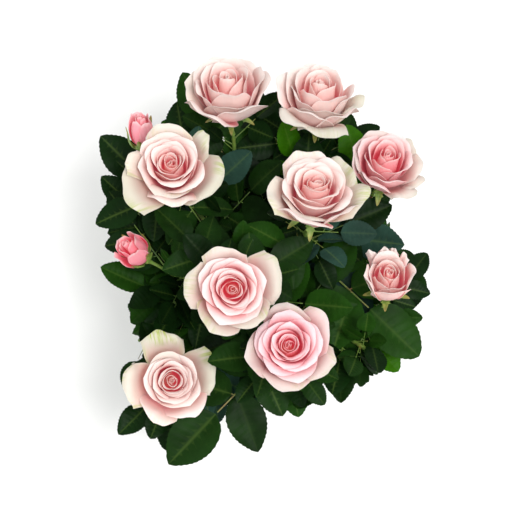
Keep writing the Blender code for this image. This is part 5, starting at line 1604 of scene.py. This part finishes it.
# painted glow: the petals give off a deep rose light in the folds and a salmon light on the heart's petals,
# in place of light that passes through the neighbouring petals
within = node(tree, "ShaderNodeMapRange", {"Value": along, "From Min": 0.50, "From Max": 0.98,
                                           "To Min": PETAL_PAINTED_GLOW, "To Max": 0.0})
heart = node(tree, "ShaderNodeMapRange", {"Value": whorl, "From Min": 0.10, "From Max": 0.45,
                                          "To Min": HEART_PAINTED_GLOW, "To Max": 0.0})
deep = node(tree, "ShaderNodeMapRange", {"Value": whorl, "From Min": 0.55, "From Max": 0.80,
                                         "To Min": 1.0, "To Max": 0.15})
painted_fold_glow = node(tree, "ShaderNodeMath", {0: within, 1: deep}, operation="MULTIPLY")
painted_glow = node(tree, "ShaderNodeMix", {0: outside, 2: painted_fold_glow, 3: heart})
painted_glow_hue = node(tree, "ShaderNodeMix", {0: outside, 6: srgb(PAINTED_GLOW_ROSE), 7: srgb(PAINTED_GLOW_SALMON)},
           data_type="RGBA")
plug(tree, shader, {"Base Color": toned.outputs[2], "Roughness": 0.55, "Specular IOR Level": 0.25,
                    "Subsurface Weight": 0.3, "Subsurface Radius": (1.0, 0.75, 0.70),
                    "Subsurface Scale": 0.002,
                    "Emission Color": painted_glow_hue.outputs[2], "Emission Strength": painted_glow})
petal.cycles.emission_sampling = "NONE"

nodding = []
for flower in flowers:
    nod = flower
    if flower.name in NODS:
        nod = Flower(flower.name, flower.cane, flower.base, *NODS[flower.name][:3], flower.height,
                     NODS[flower.name][3])
        nod.base = flower.base
    nodding.append(nod)

for flower in nodding:
    rng = np.random.default_rng(sum(map(ord, flower.name)))
    guards = GUARDS.get(flower.name, ())
    count = round(FEWEST_PETALS + (MOST_PETALS - FEWEST_PETALS) * flower.opening)
    plan = [((number / (count - 1)) ** 0.95, GOLDEN_TURN * number + rng.uniform(-18, 18))
            for number in range(count)]
    plan = [row for row in plan if not guards or row[0] < GUARD_WHORL]
    plan += [(GUARD_WHORL + 0.03 * number, *guard) for number, guard in enumerate(guards)]
    petals = Joined()
    for f, azimuth, *special in plan:
        special = special or [CORES.get(flower.name, 1.0) * rng.uniform(0.94, 1.06)]
        sheet, along, across = petal_sheet(flower, f, math.radians(azimuth), rng, *special)
        # a petal that clasps the cup is coloured like it, and a bud like the heart of a flower
        whorl = min(f, 0.70 + 0.32 * special[-1]) if len(special) > 1 else f
        tinge = TINGES.get(flower.name, 1.0) * rng.uniform(0.4, 1) * smooth(0.76, 0.90, whorl)
        petals.add(*shell(sheet, PETAL_THICKNESS, PETAL_EDGE),
                   along=np.tile(along.ravel(), 2), across=np.tile(across.ravel(), 2),
                   whorl=whorl * (BUD_WHORLS if flower.opening < BUD_OPENING else 1),
                   blush=BLUSH.get(flower.name, 0.0), tinge=tinge,
                   outside=np.repeat((1.0, 0.0), along.size))
    petals.piece(flower.name + "_petals", [petal], "petal", [flower.name], sharp=70)

# ======== The stalks, hips and sepals ========
# Under each flower a bare stalk swells into a smooth green hip. Five sepals leave its top: they
# clasp a bud, and under an open flower they lie flat or hang, with thin tips and small side lobes.
HIP_RADIUS, BUD_HIP_RADIUS = 0.0042, 0.0034
HIP_MIDDLE, HIP_REACH = -0.0045, 0.0042     # along the stalk, from the flower's base
COLLAR, COLLAR_MIDDLE, COLLAR_REACH = 0.0006, -0.026, 0.002     # where the stalk leaves its shoot
SEPALS, LOBED_SEPALS = 5, (0, 2, 3)
SEPAL_LENGTH, BUD_SEPAL_LENGTH, SEPAL_HALF_WIDTH = 0.021, 0.017, 0.0034
SEPAL_ROWS, SEPAL_COLUMNS = 22, 7
SEPAL_THICKNESS, SEPAL_EDGE = 0.00055, 0.00025
SEPAL_KEEL = 0.0016
LOBE, LOBE_PLACES, LOBE_WIDTH = 0.55, (0.42, 0.56), 0.030
BUD_SEPAL_LOOSE, BUD_SEPAL_TIP = 0.0012, 0.0035     # how far a bud's sepals stand off its petals
BUD_SEPAL_WIDER = 1.25
STALK_SIDES, STALK_RINGS = 14, 26
CALYX_DEEP, CALYX_GREEN, CALYX_RED = "#52752C", "#8CA74E", "#9C6A3C"
CALYX_GRAIN_MM = 4.55


def sepal_sheet(flower, azimuth, lobed, rng):
    """The middle surface of one sepal: narrow, keeled, leaning ever further out to its thin tip."""
    o, bud = flower.opening, flower.opening <= BUD_OPENING
    length = (BUD_SEPAL_LENGTH if bud else SEPAL_LENGTH) * rng.uniform(0.88, 1.06)
    rise = 20 + 100 * min(1.6 * o, 1)
    lean = np.radians(np.array((50 + 40 * o, rise, rise + 20)) + rng.uniform(-7, 7, 3))
    across, share = np.meshgrid(np.linspace(-1, 1, SEPAL_COLUMNS), np.linspace(0, 1, SEPAL_ROWS))
    angle = lean[0] * (1 - share) ** 2 + 2 * lean[1] * share * (1 - share) + lean[2] * share ** 2
    step = length / (SEPAL_ROWS - 1)
    radius = 0.0015 + np.cumsum(np.sin(angle), axis=0) * step
    height = -0.003 + np.cumsum(np.cos(angle), axis=0) * step
    if bud:
        at, r, h, _, _ = petal_profile(flower, 1.0, 1.0, rng)
        clasp = share * rng.uniform(0.60, 0.84)
        loose = BUD_SEPAL_LOOSE + BUD_SEPAL_TIP * smooth(0.75, 1.0, share) * rng.uniform(0, 1)
        radius = np.interp(clasp, at, r) + loose
        height = np.interp(clasp, at, h) - 0.0015 * (1 - share)
        angle = np.broadcast_to(np.radians(12.0), share.shape)
    body = (1 - share) ** 0.75 * (0.72 + 1.05 * share) + 0.05
    for place in LOBE_PLACES if lobed else ():
        body = body + LOBE * np.exp(-((share - place) / LOBE_WIDTH) ** 2)
    sideways = SEPAL_HALF_WIDTH * (BUD_SEPAL_WIDER if bud else 1) * body * across
    keel = SEPAL_KEEL * np.abs(across) ** 1.5 * (1 - share) ** 0.5
    radius, height = radius - keel * np.cos(angle), height + keel * np.sin(angle)
    return set_on(flower, azimuth, radius, height, sideways), share


# Rose calyx: a smooth, slightly waxy skin, yellow-green with a red flush towards the thin tips.
calyx_skin, tree, shader = material("rose_calyx_skin")
place = node(tree, "ShaderNodeTexCoord").outputs["Object"]
cells = node(tree, "ShaderNodeTexNoise", {"Vector": place, "Scale": 1000 / CALYX_GRAIN_MM, "Detail": 4.0})
green = node(tree, "ShaderNodeValToRGB", {"Fac": cells}, [(0.3, CALYX_DEEP), (0.7, CALYX_GREEN)])
share = node(tree, "ShaderNodeAttribute", attribute_name="share").outputs["Fac"]
late = node(tree, "ShaderNodeMapRange", {"Value": share, "From Min": 0.55, "From Max": 1.0, "To Max": 0.55})
flushed = node(tree, "ShaderNodeMix", {0: late, 6: green, 7: srgb(CALYX_RED)}, data_type="RGBA")
grain = node(tree, "ShaderNodeBump", {"Height": cells, "Strength": 0.25, "Distance": 0.0004})
plug(tree, shader, {"Base Color": flushed.outputs[2], "Normal": grain, "Roughness": 0.5,
                    "Subsurface Weight": 0.1, "Subsurface Scale": 0.002})

calyxes = Joined()
for flower, nod in zip(flowers, nodding):
    rng = np.random.default_rng(7 + sum(map(ord, flower.name)))
    hip = HIP_RADIUS if flower.opening > 0 else BUD_HIP_RADIUS
    marks = np.linspace(-STALK_LENGTH - HIP_HEIGHT, 0.004, STALK_RINGS)
    # the stalk follows its shoot, then turns to the flower's own lean
    turned_by = smooth(-0.016, 0.0, marks)[:, None]
    course = np.array(flower.axis) * (1 - turned_by) + np.array(nod.axis) * turned_by
    course = np.array(flower.base) + course * marks[:, None]
    swell = (hip - STALK_RADIUS) * np.exp(-((marks - HIP_MIDDLE) / HIP_REACH) ** 2)
    collar = COLLAR * np.exp(-((marks - COLLAR_MIDDLE) / COLLAR_REACH) ** 2)
    calyxes.add(*sweep(course, STALK_RADIUS + swell + collar, STALK_SIDES), share=0.0)
    for number in range(SEPALS):
        azimuth = math.tau * number / SEPALS + 0.6 + rng.uniform(-0.1, 0.1)
        sheet, share = sepal_sheet(nod, azimuth, number in LOBED_SEPALS, rng)
        calyxes.add(*shell(sheet, SEPAL_THICKNESS, SEPAL_EDGE), share=np.tile(share.ravel(), 2))
calyxes.piece("flower_calyxes", [calyx_skin], "leaf", [flower.name for flower in flowers], sharp=50)
